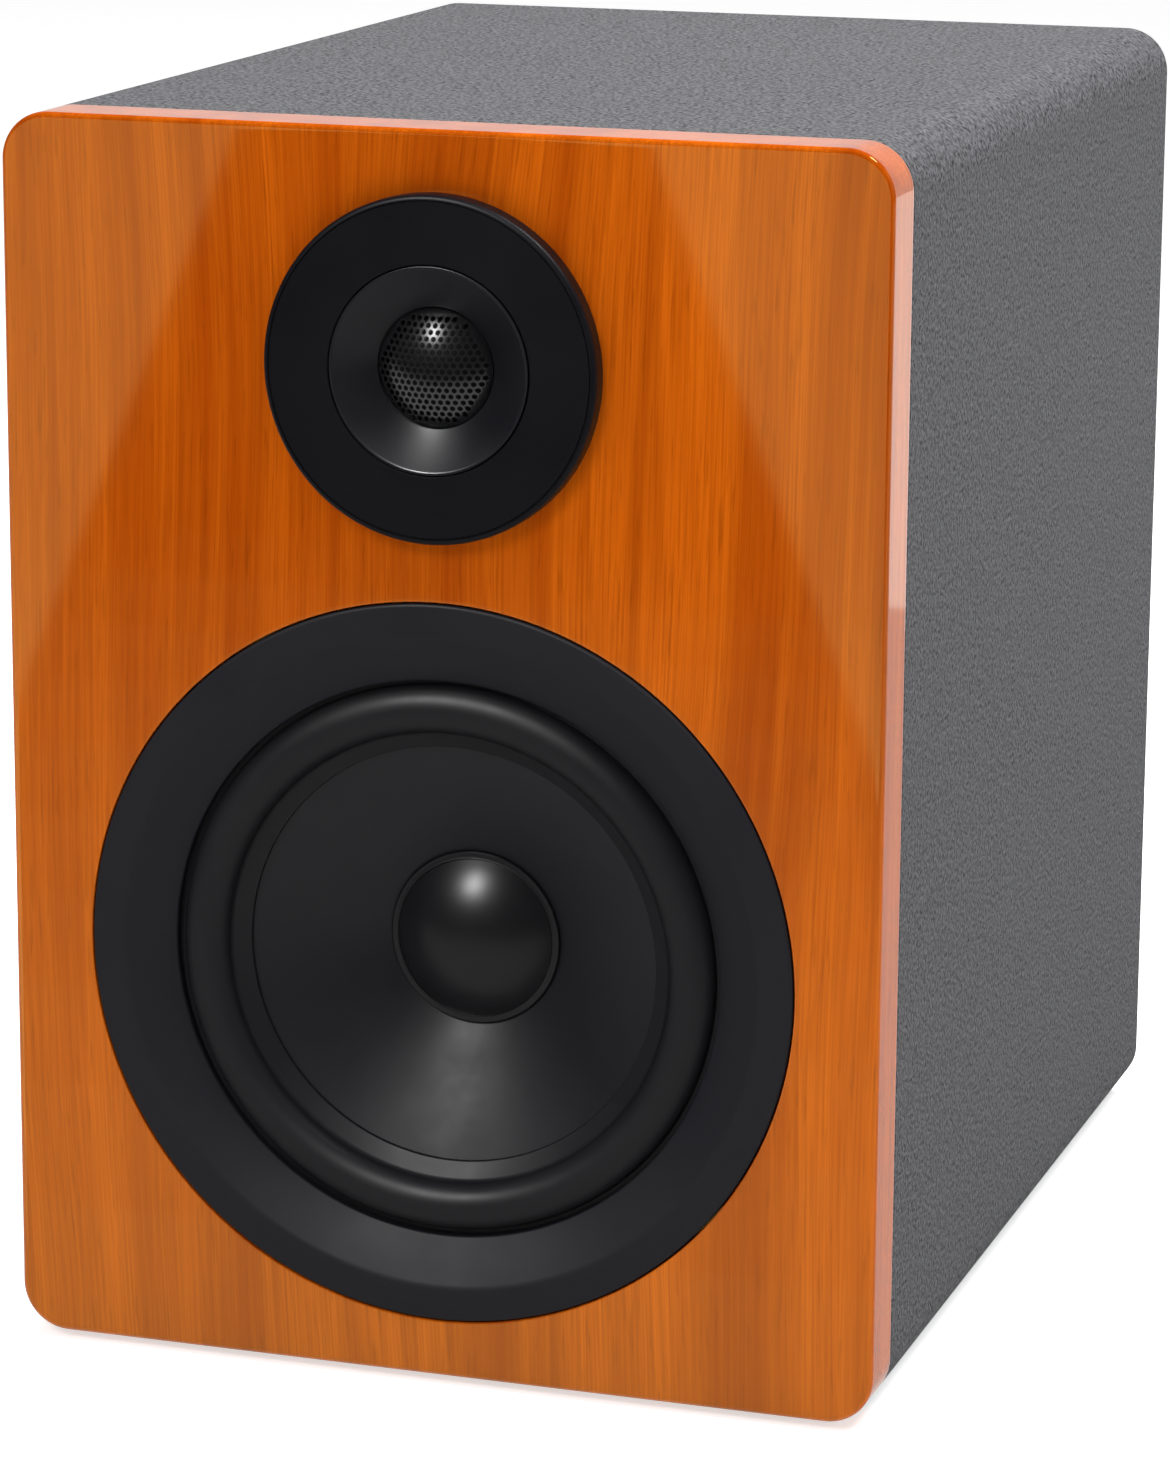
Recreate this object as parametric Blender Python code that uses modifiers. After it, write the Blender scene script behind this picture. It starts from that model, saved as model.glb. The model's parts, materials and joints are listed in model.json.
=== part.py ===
"""A two-way powered desktop speaker, made of its separate pieces.

Metres, +Z up, the front facing -Y. The origin is at the middle of the footprint, on the surface that the
feet stand on. Depths are measured backwards from the front of the baffle, and heights from that surface.
"""

import bmesh
import bpy
from math import asin, cos, hypot, pi, radians, sin, sqrt

# Cabinet
WIDTH = 0.202
HEIGHT = 0.280
DEPTH = 0.270
CORNER_RADIUS = 0.0108
CORNER_STEPS = 5
BAFFLE_THICKNESS = 0.016
BAFFLE_EDGE_ROUND = 0.0013
PANEL_THICKNESS = 0.012
WRAP_THICKNESS = 0.0005
FOOT_HEIGHT = 0.002
FOOT_RADIUS = 0.008
GAP = 0.0003

# Drivers
WOOFER_HEIGHT = FOOT_HEIGHT + 0.0952
TWEETER_HEIGHT = FOOT_HEIGHT + 0.2288
TWEETER_PROUD = 0.005
WOOFER_RING_RADIUS = 0.0818
TWEETER_RING_RADIUS = 0.0379
CONE_EDGE_RADIUS = 0.0514
CONE_EDGE_DEPTH = 0.0094
CONE_SLOPE = 0.56
COIL_RADIUS = 0.0131

# Rear
PLATE_WIDTH = 0.156
PLATE_HEIGHT = 0.166
PLATE_MIDDLE = 0.107
PLATE_THICKNESS = 0.0025
KNOB_LENGTH = 0.0138
PORT_HEIGHT = 0.236
PORT_RADIUS = 0.020
PORT_LENGTH = 0.112
UPPER_ROW = 0.112
LOWER_ROW = 0.056
VOLUME_X = 0.055
TREBLE_X = 0.024
JACK_X = -0.016
RCA_X = -0.053
INLET_X = -0.034
SWITCH_X = 0.036

# Places worked out from the sizes above
BODY_MIDDLE = FOOT_HEIGHT + HEIGHT / 2
CABINET_FRONT = BAFFLE_THICKNESS + GAP
PLATE_FRONT = DEPTH + GAP
PLATE_REAR = PLATE_FRONT + PLATE_THICKNESS
KNOB_REAR = PLATE_REAR + 0.0004 + KNOB_LENGTH
FRONT_Y = TWEETER_PROUD - (TWEETER_PROUD + KNOB_REAR) / 2
PANEL_OUT_X = WIDTH / 2 - WRAP_THICKNESS - GAP
PANEL_OUT_Z = HEIGHT / 2 - WRAP_THICKNESS - GAP
PANEL_IN_X = PANEL_OUT_X - PANEL_THICKNESS
PANEL_IN_Z = PANEL_OUT_Z - PANEL_THICKNESS

FINE_STEPS = 44
STEPS = 28
COARSE_STEPS = 20
SCREW_STEPS = 12


def new_collection(name):
    collection = bpy.data.collections.new(name)
    bpy.context.scene.collection.children.link(collection)
    return collection


for leftover in list(bpy.data.objects):
    bpy.data.objects.remove(leftover)
PARTS = new_collection("desktop_speaker")
CUTTERS = new_collection("cutters")


# Materials


def material(name, colour, roughness, metallic=0.0):
    made = bpy.data.materials.new(name)
    made.use_nodes = True
    shader = made.node_tree.nodes["Principled BSDF"]
    shader.inputs["Base Color"].default_value = (*colour, 1.0)
    shader.inputs["Roughness"].default_value = roughness
    shader.inputs["Metallic"].default_value = metallic
    made.diffuse_color = (*colour, 1.0)
    return made


LACQUERED_WOOD = material("lacquered_wood", (0.46, 0.10, 0.006), 0.12)
VINYL = material("vinyl", (0.05, 0.05, 0.053), 0.55)
FIBREBOARD = material("fibreboard", (0.30, 0.19, 0.10), 0.85)
BLACK_PLASTIC = material("black_plastic", (0.016, 0.016, 0.018), 0.42)
RUBBER = material("rubber", (0.013, 0.013, 0.014), 0.6)
CONE_PAPER = material("coated_paper", (0.02, 0.02, 0.022), 0.45)
CAP_GLOSS = material("gloss_cap", (0.012, 0.012, 0.014), 0.2)
SPIDER_CLOTH = material("spider_cloth", (0.42, 0.25, 0.07), 0.9)
STEEL = material("plated_steel", (0.56, 0.56, 0.57), 0.32, 1.0)
BLACK_STEEL = material("black_steel", (0.03, 0.03, 0.032), 0.4, 0.6)
FERRITE = material("ferrite", (0.035, 0.034, 0.034), 0.55)
COPPER = material("copper_wire", (0.62, 0.26, 0.10), 0.3, 1.0)
SILK = material("silk_dome", (0.02, 0.02, 0.021), 0.7)
BLACK_ALUMINIUM = material("black_aluminium", (0.025, 0.025, 0.027), 0.4, 0.7)
BOARD = material("circuit_board", (0.02, 0.12, 0.04), 0.5)
LEAD_JACKET = material("lead_jacket", (0.35, 0.02, 0.02), 0.5)


# Making of shapes


def mesh_object(name, mesh, finish, place=(0, 0, 0), turn=(0, 0, 0)):
    """A new object of this mesh. One with no finish is a cutter."""
    made = bpy.data.objects.new(name, mesh)
    made.location = place
    made.rotation_euler = turn
    if finish is None:
        CUTTERS.objects.link(made)
        made.hide_render = True
        made.display_type = "WIRE"
    else:
        PARTS.objects.link(made)
        mesh.materials.clear()
        mesh.materials.append(finish)
    return made


def turned(name, profile, finish, place, steps=STEPS, turn=(radians(90), 0, 0)):
    """A profile of (radius, drop) points turned about the piece's axis, drop running back from place.

    A profile that starts and ends on the axis is left open there, and any other is joined up into a ring.
    """
    mesh = bpy.data.meshes.new(name)
    points = [(radius, 0, -drop) for radius, drop in profile]
    edges = [(i, i + 1) for i in range(len(points) - 1)]
    on_axis = profile[0][0] == 0
    if not on_axis:
        edges.append((len(points) - 1, 0))
    mesh.from_pydata(points, edges, [])
    made = mesh_object(name, mesh, finish, place, turn)
    screw = made.modifiers.new("turn", "SCREW")
    screw.steps = screw.render_steps = steps
    screw.use_merge_vertices = True
    screw.merge_threshold = 0.00001
    return made


def on_front(x, height):
    """The place that turned pieces facing the front drop from, so that a drop is a depth."""
    return (x, FRONT_Y, height)


def ring(name, outer, inner, start, end, finish, place, steps=STEPS):
    profile = [(outer, start), (outer, end), (inner, end), (inner, start)]
    return turned(name, profile, finish, place, steps)


def disc(name, radius, start, end, finish, place, steps=STEPS):
    profile = [(0, start), (radius, start), (radius, end), (0, end)]
    return turned(name, profile, finish, place, steps)


def box(name, middle, size, finish):
    """A block whose middle is given as (x, depth, height) and whose size is (x, y, z)."""
    grown = bmesh.new()
    bmesh.ops.create_cube(grown, size=1.0)
    bmesh.ops.scale(grown, vec=size, verts=grown.verts)
    mesh = bpy.data.meshes.new(name)
    grown.to_mesh(mesh)
    grown.free()
    x, depth, height = middle
    return mesh_object(name, mesh, finish, (x, FRONT_Y + depth, height))


def mesh_of_curve(curve_object):
    """The curve's evaluated shape as a mesh, its caps welded to its sides."""
    bpy.context.view_layer.update()
    graph = bpy.context.evaluated_depsgraph_get()
    mesh = bpy.data.meshes.new_from_object(curve_object.evaluated_get(graph))
    welded = bmesh.new()
    welded.from_mesh(mesh)
    bmesh.ops.remove_doubles(welded, verts=welded.verts, dist=0.00001)
    welded.to_mesh(mesh)
    welded.free()
    bpy.data.objects.remove(curve_object)
    return mesh


def flat_outline(outline, thickness):
    """A mesh of the outline, filled and extruded evenly to both sides of its plane."""
    curve = bpy.data.curves.new("outline", "CURVE")
    curve.dimensions = "2D"
    curve.fill_mode = "BOTH"
    curve.extrude = thickness / 2
    spline = curve.splines.new("POLY")
    spline.points.add(len(outline) - 1)
    for point, (across, up) in zip(spline.points, outline):
        point.co = (across, up, 0, 1)
    spline.use_cyclic_u = True
    shape = bpy.data.objects.new("outline", curve)
    PARTS.objects.link(shape)
    return mesh_of_curve(shape)


def slab(name, outline, start, end, finish, x=0.0, height=0.0):
    """An outline in the plane of the front, extruded from one depth to another."""
    mesh = flat_outline(outline, end - start)
    place = (x, FRONT_Y + (start + end) / 2, height)
    return mesh_object(name, mesh, finish, place, (radians(90), 0, 0))


def rounded_rectangle(width, height, radius, steps):
    points = []
    for quarter in range(4):
        side_x = 1 if quarter in (0, 3) else -1
        side_z = 1 if quarter in (0, 1) else -1
        for step in range(steps + 1):
            angle = pi / 2 * (quarter + step / steps)
            x = side_x * (width / 2 - radius) + radius * cos(angle)
            z = side_z * (height / 2 - radius) + radius * sin(angle)
            points.append((x, z))
    return points


def rectangle(width, height):
    return [(width / 2, height / 2), (-width / 2, height / 2), (-width / 2, -height / 2), (width / 2, -height / 2)]


def arc(radius_middle, drop_middle, radius, start, end, steps):
    """Profile points along an arc, its angles in degrees counted from outwards towards the front."""
    angles = [radians(start + (end - start) * step / steps) for step in range(steps + 1)]
    return [(radius_middle + radius * cos(a), drop_middle - radius * sin(a)) for a in angles]


def cap_drop(radius, apex, edge_radius, rise):
    """The depth of a spherical cap at a radius, for a cap that rises by this much over its edge."""
    sphere = (edge_radius**2 + rise**2) / (2 * rise)
    return apex + sphere - sqrt(sphere**2 - radius**2)


def shell_cap(apex, edge_radius, rise, thickness, steps):
    """A thin spherical cap's profile from the axis out along its front and back along its inside."""
    radii = [edge_radius * step / steps for step in range(steps + 1)]
    front = [(r, cap_drop(r, apex, edge_radius, rise)) for r in radii]
    back = [(r, cap_drop(r, apex, edge_radius, rise) + thickness) for r in reversed(radii)]
    return front + back


def join(target, cutter, operation):
    modifier = target.modifiers.new(cutter.name, "BOOLEAN")
    modifier.operation = operation
    modifier.object = cutter
    modifier.solver = "EXACT"


def cut(target, *cutters):
    for cutter in cutters:
        join(target, cutter, "DIFFERENCE")


def add(target, *others):
    for other in others:
        join(target, other, "UNION")


def cone_front(radius):
    """The depth of the woofer cone's front at a radius."""
    return CONE_EDGE_DEPTH + (CONE_EDGE_RADIUS - radius) * CONE_SLOPE


# Cabinet


def round_front_edges(mesh, width, steps):
    """Rounds the edges around the face that ends up at the front, which is the mesh's own top."""
    shape = bmesh.new()
    shape.from_mesh(mesh)
    top = max(v.co.z for v in shape.verts)
    rim = [
        edge
        for edge in shape.edges
        if all(top - v.co.z < 0.00001 for v in edge.verts) and edge.calc_face_angle(0) > 1.0
    ]
    bmesh.ops.bevel(shape, geom=rim, offset=width, segments=steps, profile=0.5, affect="EDGES")
    shape.to_mesh(mesh)
    shape.free()


def make_front_baffle():
    outline = rounded_rectangle(WIDTH, HEIGHT, CORNER_RADIUS, CORNER_STEPS)
    baffle = slab("front_baffle", outline, 0, BAFFLE_THICKNESS, LACQUERED_WOOD, height=BODY_MIDDLE)
    round_front_edges(baffle.data, BAFFLE_EDGE_ROUND, 2)
    woofer, tweeter = on_front(0, WOOFER_HEIGHT), on_front(0, TWEETER_HEIGHT)
    recess = disc("woofer_recess_cut", WOOFER_RING_RADIUS + GAP, -0.01, 0.0103, None, woofer, FINE_STEPS)
    hole = disc("woofer_hole_cut", 0.0675, -0.01, 0.03, None, woofer, FINE_STEPS)
    tweeter_hole = disc("tweeter_hole_cut", 0.0269, -0.01, 0.03, None, tweeter)
    cut(baffle, recess, hole, tweeter_hole)
    for x, height in screw_places(WOOFER_SCREW_CIRCLE, WOOFER_HEIGHT, 4, 45):
        cut(baffle, disc("woofer_pilot_cut", 0.0020, 0.005, 0.0150, None, on_front(x, height), SCREW_STEPS))
    for x, height in screw_places(TWEETER_SCREW_CIRCLE, TWEETER_HEIGHT, 3, 90):
        cut(baffle, disc("tweeter_pilot_cut", 0.0017, -0.005, 0.0135, None, on_front(x, height), SCREW_STEPS))


def mitred_outline(out_across, out_along, in_across, in_along):
    """The section of a panel on the far side across, with half of each rounded corner and a mitre at each end.

    Each mitre stands back from the corner's diagonal by half the gap.
    """
    radius = CORNER_RADIUS - WRAP_THICKNESS - GAP
    last = pi / 4 - asin(GAP / 2 / radius)
    angles = [last * step / 3 for step in range(4)]
    middle_across, middle_along = out_across - radius, out_along - radius
    upper = [(middle_across + radius * cos(a), middle_along + radius * sin(a)) for a in angles]
    upper.append((in_across, in_along - GAP / sqrt(2)))
    lower = [(across, -along) for across, along in reversed(upper)]
    return upper + lower


def make_panels():
    side = mitred_outline(PANEL_OUT_X, PANEL_OUT_Z, PANEL_IN_X, PANEL_IN_Z)
    level = mitred_outline(PANEL_OUT_Z, PANEL_OUT_X, PANEL_IN_Z, PANEL_IN_X)
    outlines = {
        "right_side_panel": side,
        "left_side_panel": [(-x, z) for x, z in side],
        "top_panel": [(x, z) for z, x in level],
        "bottom_panel": [(x, -z) for z, x in level],
    }
    for name, outline in outlines.items():
        slab(name, outline, CABINET_FRONT, DEPTH - WRAP_THICKNESS - GAP, FIBREBOARD, height=BODY_MIDDLE)


def make_vinyl_wrap():
    """A skin round the four panels, folded in over their rear ends."""
    steps = CORNER_STEPS + 1
    outer = rounded_rectangle(WIDTH, HEIGHT, CORNER_RADIUS, steps)
    inner_size = (WIDTH - 2 * WRAP_THICKNESS, HEIGHT - 2 * WRAP_THICKNESS)
    inner = rounded_rectangle(*inner_size, CORNER_RADIUS - WRAP_THICKNESS, steps)
    wrap = slab("vinyl_wrap", outer, CABINET_FRONT, DEPTH, VINYL, height=BODY_MIDDLE)
    hollow = slab("wrap_hollow_cut", inner, 0, DEPTH - WRAP_THICKNESS, None, height=BODY_MIDDLE)
    mouth = box("wrap_mouth_cut", (0, DEPTH, BODY_MIDDLE), (2 * PANEL_IN_X, 0.02, 2 * PANEL_IN_Z), None)
    cut(wrap, hollow, mouth)


def make_rear_panel():
    outline = rectangle(2 * (PANEL_IN_X - GAP), 2 * (PANEL_IN_Z - GAP))
    panel = slab("rear_panel", outline, DEPTH - PANEL_THICKNESS, DEPTH, VINYL, height=BODY_MIDDLE)
    port = disc("port_hole_cut", 0.0273, DEPTH - 0.02, DEPTH + 0.01, None, on_front(0, PORT_HEIGHT))
    bay = box("amplifier_bay_cut", (0, DEPTH, PLATE_MIDDLE), (0.132, 0.04, 0.142), None)
    cut(panel, port, bay)
    for x, height in plate_corners():
        pilot = disc("plate_pilot_cut", 0.0020, 0.2625, DEPTH + 0.01, None, on_front(x, height), SCREW_STEPS)
        cut(panel, pilot)


def make_port_tube():
    """The reflex port: a plain tube that flares out to a lip on the rear panel."""
    flare_steps = 5
    mouth, flare_start = 0.0286, DEPTH - 0.014
    lip = DEPTH + 0.0023
    flare = []
    for step in range(flare_steps + 1):
        angle = pi / 2 * step / flare_steps
        radius = mouth - (mouth - PORT_RADIUS) * sin(angle)
        flare.append((radius, flare_start + (lip - flare_start) * cos(angle)))
    inner_end = DEPTH - PORT_LENGTH
    outside = [
        (PORT_RADIUS + 0.002, inner_end),
        (PORT_RADIUS + 0.002, DEPTH - 0.016),
        (0.0270, DEPTH - 0.009),
        (0.0270, DEPTH + GAP),
        (0.0310, DEPTH + GAP),
        (0.0310, DEPTH + 0.0015),
        (0.0302, lip),
    ]
    turned("port_tube", outside + flare + [(PORT_RADIUS, inner_end)], BLACK_PLASTIC, on_front(0, PORT_HEIGHT))


def make_feet():
    foot_x, front_depth, rear_depth = 0.078, 0.030, 0.240
    top = FOOT_HEIGHT - GAP
    profile = [(0, 0), (FOOT_RADIUS - 0.0006, 0), (FOOT_RADIUS, 0.0004), (FOOT_RADIUS, top), (0, top)]
    places = [(x, depth) for depth in (front_depth, rear_depth) for x in (-foot_x, foot_x)]
    for number, (x, depth) in enumerate(places, 1):
        turned(f"foot_{number}", profile, RUBBER, (x, FRONT_Y + depth, top), 16, (0, 0, 0))


# Woofer

WOOFER_SCREW_CIRCLE = 0.073
RING_FLAT_RADIUS = 0.0742
RING_BORE_RADIUS = 0.0636
FLANGE_DEPTH = 0.0084
SURROUND_OUT = 0.0624
SURROUND_IN = 0.0516
GLUE_RADIUS = 0.0476
TOP_PLATE_DEPTH = 0.0484
MAGNET_DEPTH = 0.0537
YOKE_DEPTH = 0.0700


def screw_places(circle, middle, count, first_angle):
    angles = [radians(first_angle + 360 * number / count) for number in range(count)]
    return [(circle * cos(a), middle + circle * sin(a)) for a in angles]


def make_woofer_ring():
    """The wide trim ring: flat outside, bevelled down to the surround, with a skirt in the baffle's recess."""
    front, round_over = -0.0003, 0.0008
    profile = [
        (WOOFER_RING_RADIUS - round_over, front),
        (WOOFER_RING_RADIUS, front + round_over),
        (WOOFER_RING_RADIUS, 0.0100),
        (0.0796, 0.0100),
        (0.0796, 0.0019),
        (RING_FLAT_RADIUS, 0.0019),
        (0.0660, 0.0060),
        (0.0660, 0.0070),
        (RING_BORE_RADIUS, 0.0070),
        (RING_BORE_RADIUS, 0.0052),
        (RING_FLAT_RADIUS, front),
    ]
    turned("woofer_trim_ring", profile, BLACK_PLASTIC, on_front(0, WOOFER_HEIGHT), FINE_STEPS)


def make_woofer_basket():
    """The pressed frame, from the flange back past the spider's shelf to the seat of the top plate."""
    profile = [
        (0.0772, FLANGE_DEPTH),
        (0.0772, 0.0100),
        (0.0668, 0.0100),
        (0.0640, 0.0130),
        (0.0480, 0.0370),
        (0.0480, 0.0386),
        (0.0410, 0.0386),
        (0.0410, 0.0481),
        (0.0150, 0.0481),
        (0.0150, 0.0465),
        (0.0392, 0.0465),
        (0.0392, 0.0369),
        (0.0464, 0.0369),
        (0.0622, 0.0127),
        (0.0622, FLANGE_DEPTH),
    ]
    basket = turned("woofer_basket", profile, BLACK_STEEL, on_front(0, WOOFER_HEIGHT))
    for angle in (45, -45):
        window = box("basket_window_cut", (0, 0.0250, WOOFER_HEIGHT), (0.044, 0.020, 0.150), None)
        window.rotation_euler = (0, radians(angle), 0)
        cut(basket, window)
    for x, height in screw_places(WOOFER_SCREW_CIRCLE, WOOFER_HEIGHT, 4, 45):
        cut(basket, disc("flange_hole_cut", 0.0021, 0.005, 0.012, None, on_front(x, height), SCREW_STEPS))


def make_woofer_surround():
    """The half-roll edge, with one lip on the basket's flange and one on the front of the cone."""
    thickness, roll_steps = 0.0008, 6
    rise, seat = 0.0046, 0.0073
    middle, reach = (SURROUND_OUT + SURROUND_IN) / 2, (SURROUND_OUT - SURROUND_IN) / 2

    def roll(inset):
        angles = [pi * step / roll_steps for step in range(roll_steps + 1)]
        return [(middle - (reach - inset) * cos(a), seat + inset - rise * sin(a)) for a in angles]

    lift = thickness + GAP
    glue_front = [(GLUE_RADIUS, cone_front(GLUE_RADIUS) - lift), (SURROUND_IN, seat + 0.0005)]
    outer_lip = [(0.0675, seat), (0.0675, seat + thickness)]
    back = list(reversed(roll(thickness)))
    glue_back = [(CONE_EDGE_RADIUS, cone_front(CONE_EDGE_RADIUS) - GAP), (GLUE_RADIUS, cone_front(GLUE_RADIUS) - GAP)]
    profile = glue_front + roll(0.0) + outer_lip + back + glue_back
    turned("woofer_surround", profile, RUBBER, on_front(0, WOOFER_HEIGHT), 32)


def make_woofer_cone():
    thickness, neck = 0.0008, COIL_RADIUS + GAP
    profile = [
        (CONE_EDGE_RADIUS, CONE_EDGE_DEPTH),
        (CONE_EDGE_RADIUS, CONE_EDGE_DEPTH + thickness),
        (neck, cone_front(neck) + thickness),
        (neck, cone_front(neck)),
    ]
    turned("woofer_cone", profile, CONE_PAPER, on_front(0, WOOFER_HEIGHT), 32)


def make_woofer_cap():
    """The dust cap: a dome with a narrow rim that is glued to the cone."""
    apex, edge, rise, thickness, rim = 0.0195, 0.01815, 0.0068, 0.0006, 0.0199
    lift = thickness + GAP
    dome = shell_cap(apex, edge, rise, thickness, 4)
    half = len(dome) // 2
    rim_points = [(rim, cone_front(rim) - lift), (rim, cone_front(rim) - GAP)]
    inside = [(r, d) for r, d in dome[half:] if r < edge]
    turned("woofer_dust_cap", dome[:half] + rim_points + inside, CAP_GLOSS, on_front(0, WOOFER_HEIGHT))


def make_woofer_coil():
    former_inner, winding = COIL_RADIUS - 0.0005, COIL_RADIUS + 0.0006
    start, winding_start, end = 0.0279, 0.0465, 0.0560
    profile = [
        (COIL_RADIUS, start),
        (COIL_RADIUS, winding_start),
        (winding, winding_start),
        (winding, end),
        (former_inner, end),
        (former_inner, start),
    ]
    turned("woofer_voice_coil", profile, COPPER, on_front(0, WOOFER_HEIGHT))


def make_woofer_spider():
    """The corrugated disc that centres the coil, waved along its radius, with a flat rim on the basket's shelf."""
    inner, wave_end, rim, waves, points = COIL_RADIUS + GAP, 0.0385, 0.0452, 2, 8
    height, wave, thickness = 0.0360, 0.0011, 0.0006
    radii = [inner + (wave_end - inner) * i / points for i in range(points + 1)]
    front = [(r, height - wave * sin(2 * pi * waves * i / points)) for i, r in enumerate(radii)]
    front.append((rim, height))
    back = [(r, drop + thickness) for r, drop in reversed(front)]
    turned("woofer_spider", front + back, SPIDER_CLOTH, on_front(0, WOOFER_HEIGHT), COARSE_STEPS)


def make_woofer_motor():
    place = on_front(0, WOOFER_HEIGHT)
    ring("woofer_top_plate", 0.0385, 0.0144, TOP_PLATE_DEPTH, MAGNET_DEPTH - GAP, STEEL, place)
    ring("woofer_magnet", 0.0450, 0.0200, MAGNET_DEPTH, YOKE_DEPTH - GAP, FERRITE, place)
    pole, vent = COIL_RADIUS - 0.0010, 0.0045
    yoke = [
        (pole, TOP_PLATE_DEPTH),
        (pole, YOKE_DEPTH),
        (0.0420, YOKE_DEPTH),
        (0.0420, YOKE_DEPTH + 0.005),
        (vent, YOKE_DEPTH + 0.005),
        (vent, TOP_PLATE_DEPTH),
    ]
    turned("woofer_yoke", yoke, STEEL, place)


def make_woofer_terminals():
    """The strip on the basket's upper leg, with two tabs for the lead."""
    height = WOOFER_HEIGHT + 0.0619
    strip = box("woofer_terminals", (0, 0.025, height), (0.018, 0.012, 0.003), BLACK_PLASTIC)
    for x in (-0.005, 0.005):
        add(strip, box("terminal_tab_join", (x, 0.029, height + 0.003), (0.0028, 0.003, 0.008), None))


def screw(name, x, height, head_radius, head, shank_radius, tip):
    """A pan-head screw whose head lies between two depths, the first of them being the outer face."""
    outer, seat = head
    step = 0.3 * (seat - outer)
    profile = [
        (0, outer),
        (0.7 * head_radius, outer),
        (head_radius, outer + step),
        (head_radius, seat),
        (shank_radius, seat),
        (shank_radius, tip + 1.5 * (-1 if tip > seat else 1) * shank_radius),
        (0, tip),
    ]
    if tip < seat:
        profile.reverse()
    return turned(name, profile, STEEL, on_front(x, height), SCREW_STEPS)


def make_woofer_screws():
    for number, (x, height) in enumerate(screw_places(WOOFER_SCREW_CIRCLE, WOOFER_HEIGHT, 4, 45), 1):
        screw(f"woofer_screw_{number}", x, height, 0.0028, (0.0059, 0.0081), 0.0017, 0.0146)


# Tweeter

TWEETER_SCREW_CIRCLE = 0.031
GUIDE_RADIUS = 0.0226
THROAT_RADIUS = 0.0133
DOME_RADIUS = 0.0125


def make_tweeter_ring():
    """The proud trim ring over the faceplate's screws, with a rounded outer lip."""
    lip, front = 0.0020, -TWEETER_PROUD
    rim = arc(TWEETER_RING_RADIUS - lip, front + lip, lip, 90, 0, 4)
    profile = rim + [
        (TWEETER_RING_RADIUS, -GAP),
        (TWEETER_RING_RADIUS - 0.0015, -GAP),
        (TWEETER_RING_RADIUS - 0.0015, front + 0.0013),
        (GUIDE_RADIUS + GAP, front + 0.0013),
        (GUIDE_RADIUS + GAP, front),
    ]
    turned("tweeter_trim_ring", profile, BLACK_PLASTIC, on_front(0, TWEETER_HEIGHT), FINE_STEPS)


def make_tweeter_faceplate():
    """The screwed-on plate with its shallow conical waveguide, and a collar behind that holds the motor."""
    front, throat_depth, edge_round = -TWEETER_PROUD, 0.0002, 0.0004
    guide = [(THROAT_RADIUS, throat_depth), (GUIDE_RADIUS - 2 * edge_round, front + edge_round)]
    profile = [
        (GUIDE_RADIUS, front),
        (GUIDE_RADIUS, -0.0019),
        (0.0356, -0.0019),
        (0.0356, -GAP),
        (0.0266, -GAP),
        (0.0266, 0.0044),
        (0.0187, 0.0044),
        (0.0187, 0.0016),
        (0.0127, 0.0016),
        (0.0127, 0.0009),
        (THROAT_RADIUS, 0.0009),
    ]
    profile += guide + [(GUIDE_RADIUS - 0.0005, front)]
    plate = turned("tweeter_faceplate", profile, BLACK_PLASTIC, on_front(0, TWEETER_HEIGHT), STEPS)
    for x, height in screw_places(TWEETER_SCREW_CIRCLE, TWEETER_HEIGHT, 3, 90):
        cut(plate, disc("faceplate_hole_cut", 0.0017, -0.004, 0.002, None, on_front(x, height), SCREW_STEPS))


def make_tweeter_mesh():
    """The domed grille over the throat, kept plain here."""
    profile = shell_cap(-0.0047, THROAT_RADIUS - 0.00035, 0.0048, 0.0005, 4)
    turned("tweeter_mesh", profile, BLACK_STEEL, on_front(0, TWEETER_HEIGHT), 24)


def make_tweeter_dome():
    """The soft dome with its small roll and the lip that is held on the top plate."""
    apex, rise, thickness, seat = -0.0014, 0.0038, 0.0004, 0.0039
    dome = shell_cap(apex, DOME_RADIUS, rise, thickness, 3)
    half = len(dome) // 2
    roll = [(0.0138, 0.0022), (0.0150, 0.0026), (0.0158, seat), (0.0182, seat), (0.0182, seat + thickness)]
    back = [(0.0154, seat + thickness), (0.0147, 0.0031), (0.0138, 0.0027), (0.0128, 0.0029)]
    profile = dome[:half] + roll + back + dome[half:]
    turned("tweeter_dome", profile, SILK, on_front(0, TWEETER_HEIGHT), COARSE_STEPS)


def make_tweeter_motor():
    place = on_front(0, TWEETER_HEIGHT)
    ring("tweeter_voice_coil", 0.0129, 0.0125, 0.0032, 0.0080, COPPER, place, 24)
    ring("tweeter_top_plate", 0.0260, 0.0135, 0.0047, 0.0077, STEEL, place)
    ring("tweeter_magnet", 0.0260, 0.0170, 0.0080, 0.0160, FERRITE, place)
    pole, vent = 0.0119, 0.0025
    yoke = [(pole, 0.0046), (pole, 0.0163), (0.0255, 0.0163), (0.0255, 0.0203), (vent, 0.0203), (vent, 0.0046)]
    turned("tweeter_yoke", yoke, STEEL, place)


def make_tweeter_screws():
    for number, (x, height) in enumerate(screw_places(TWEETER_SCREW_CIRCLE, TWEETER_HEIGHT, 3, 90), 1):
        screw(f"tweeter_screw_{number}", x, height, 0.0024, (-0.0034, -0.0022), 0.0014, 0.0130)


# Amplifier and rear controls


def plate_corners():
    inset = 0.006
    across, up = PLATE_WIDTH / 2 - inset, PLATE_HEIGHT / 2 - inset
    return [(x, PLATE_MIDDLE + z) for z in (-up, up) for x in (-across, across)]


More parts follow.
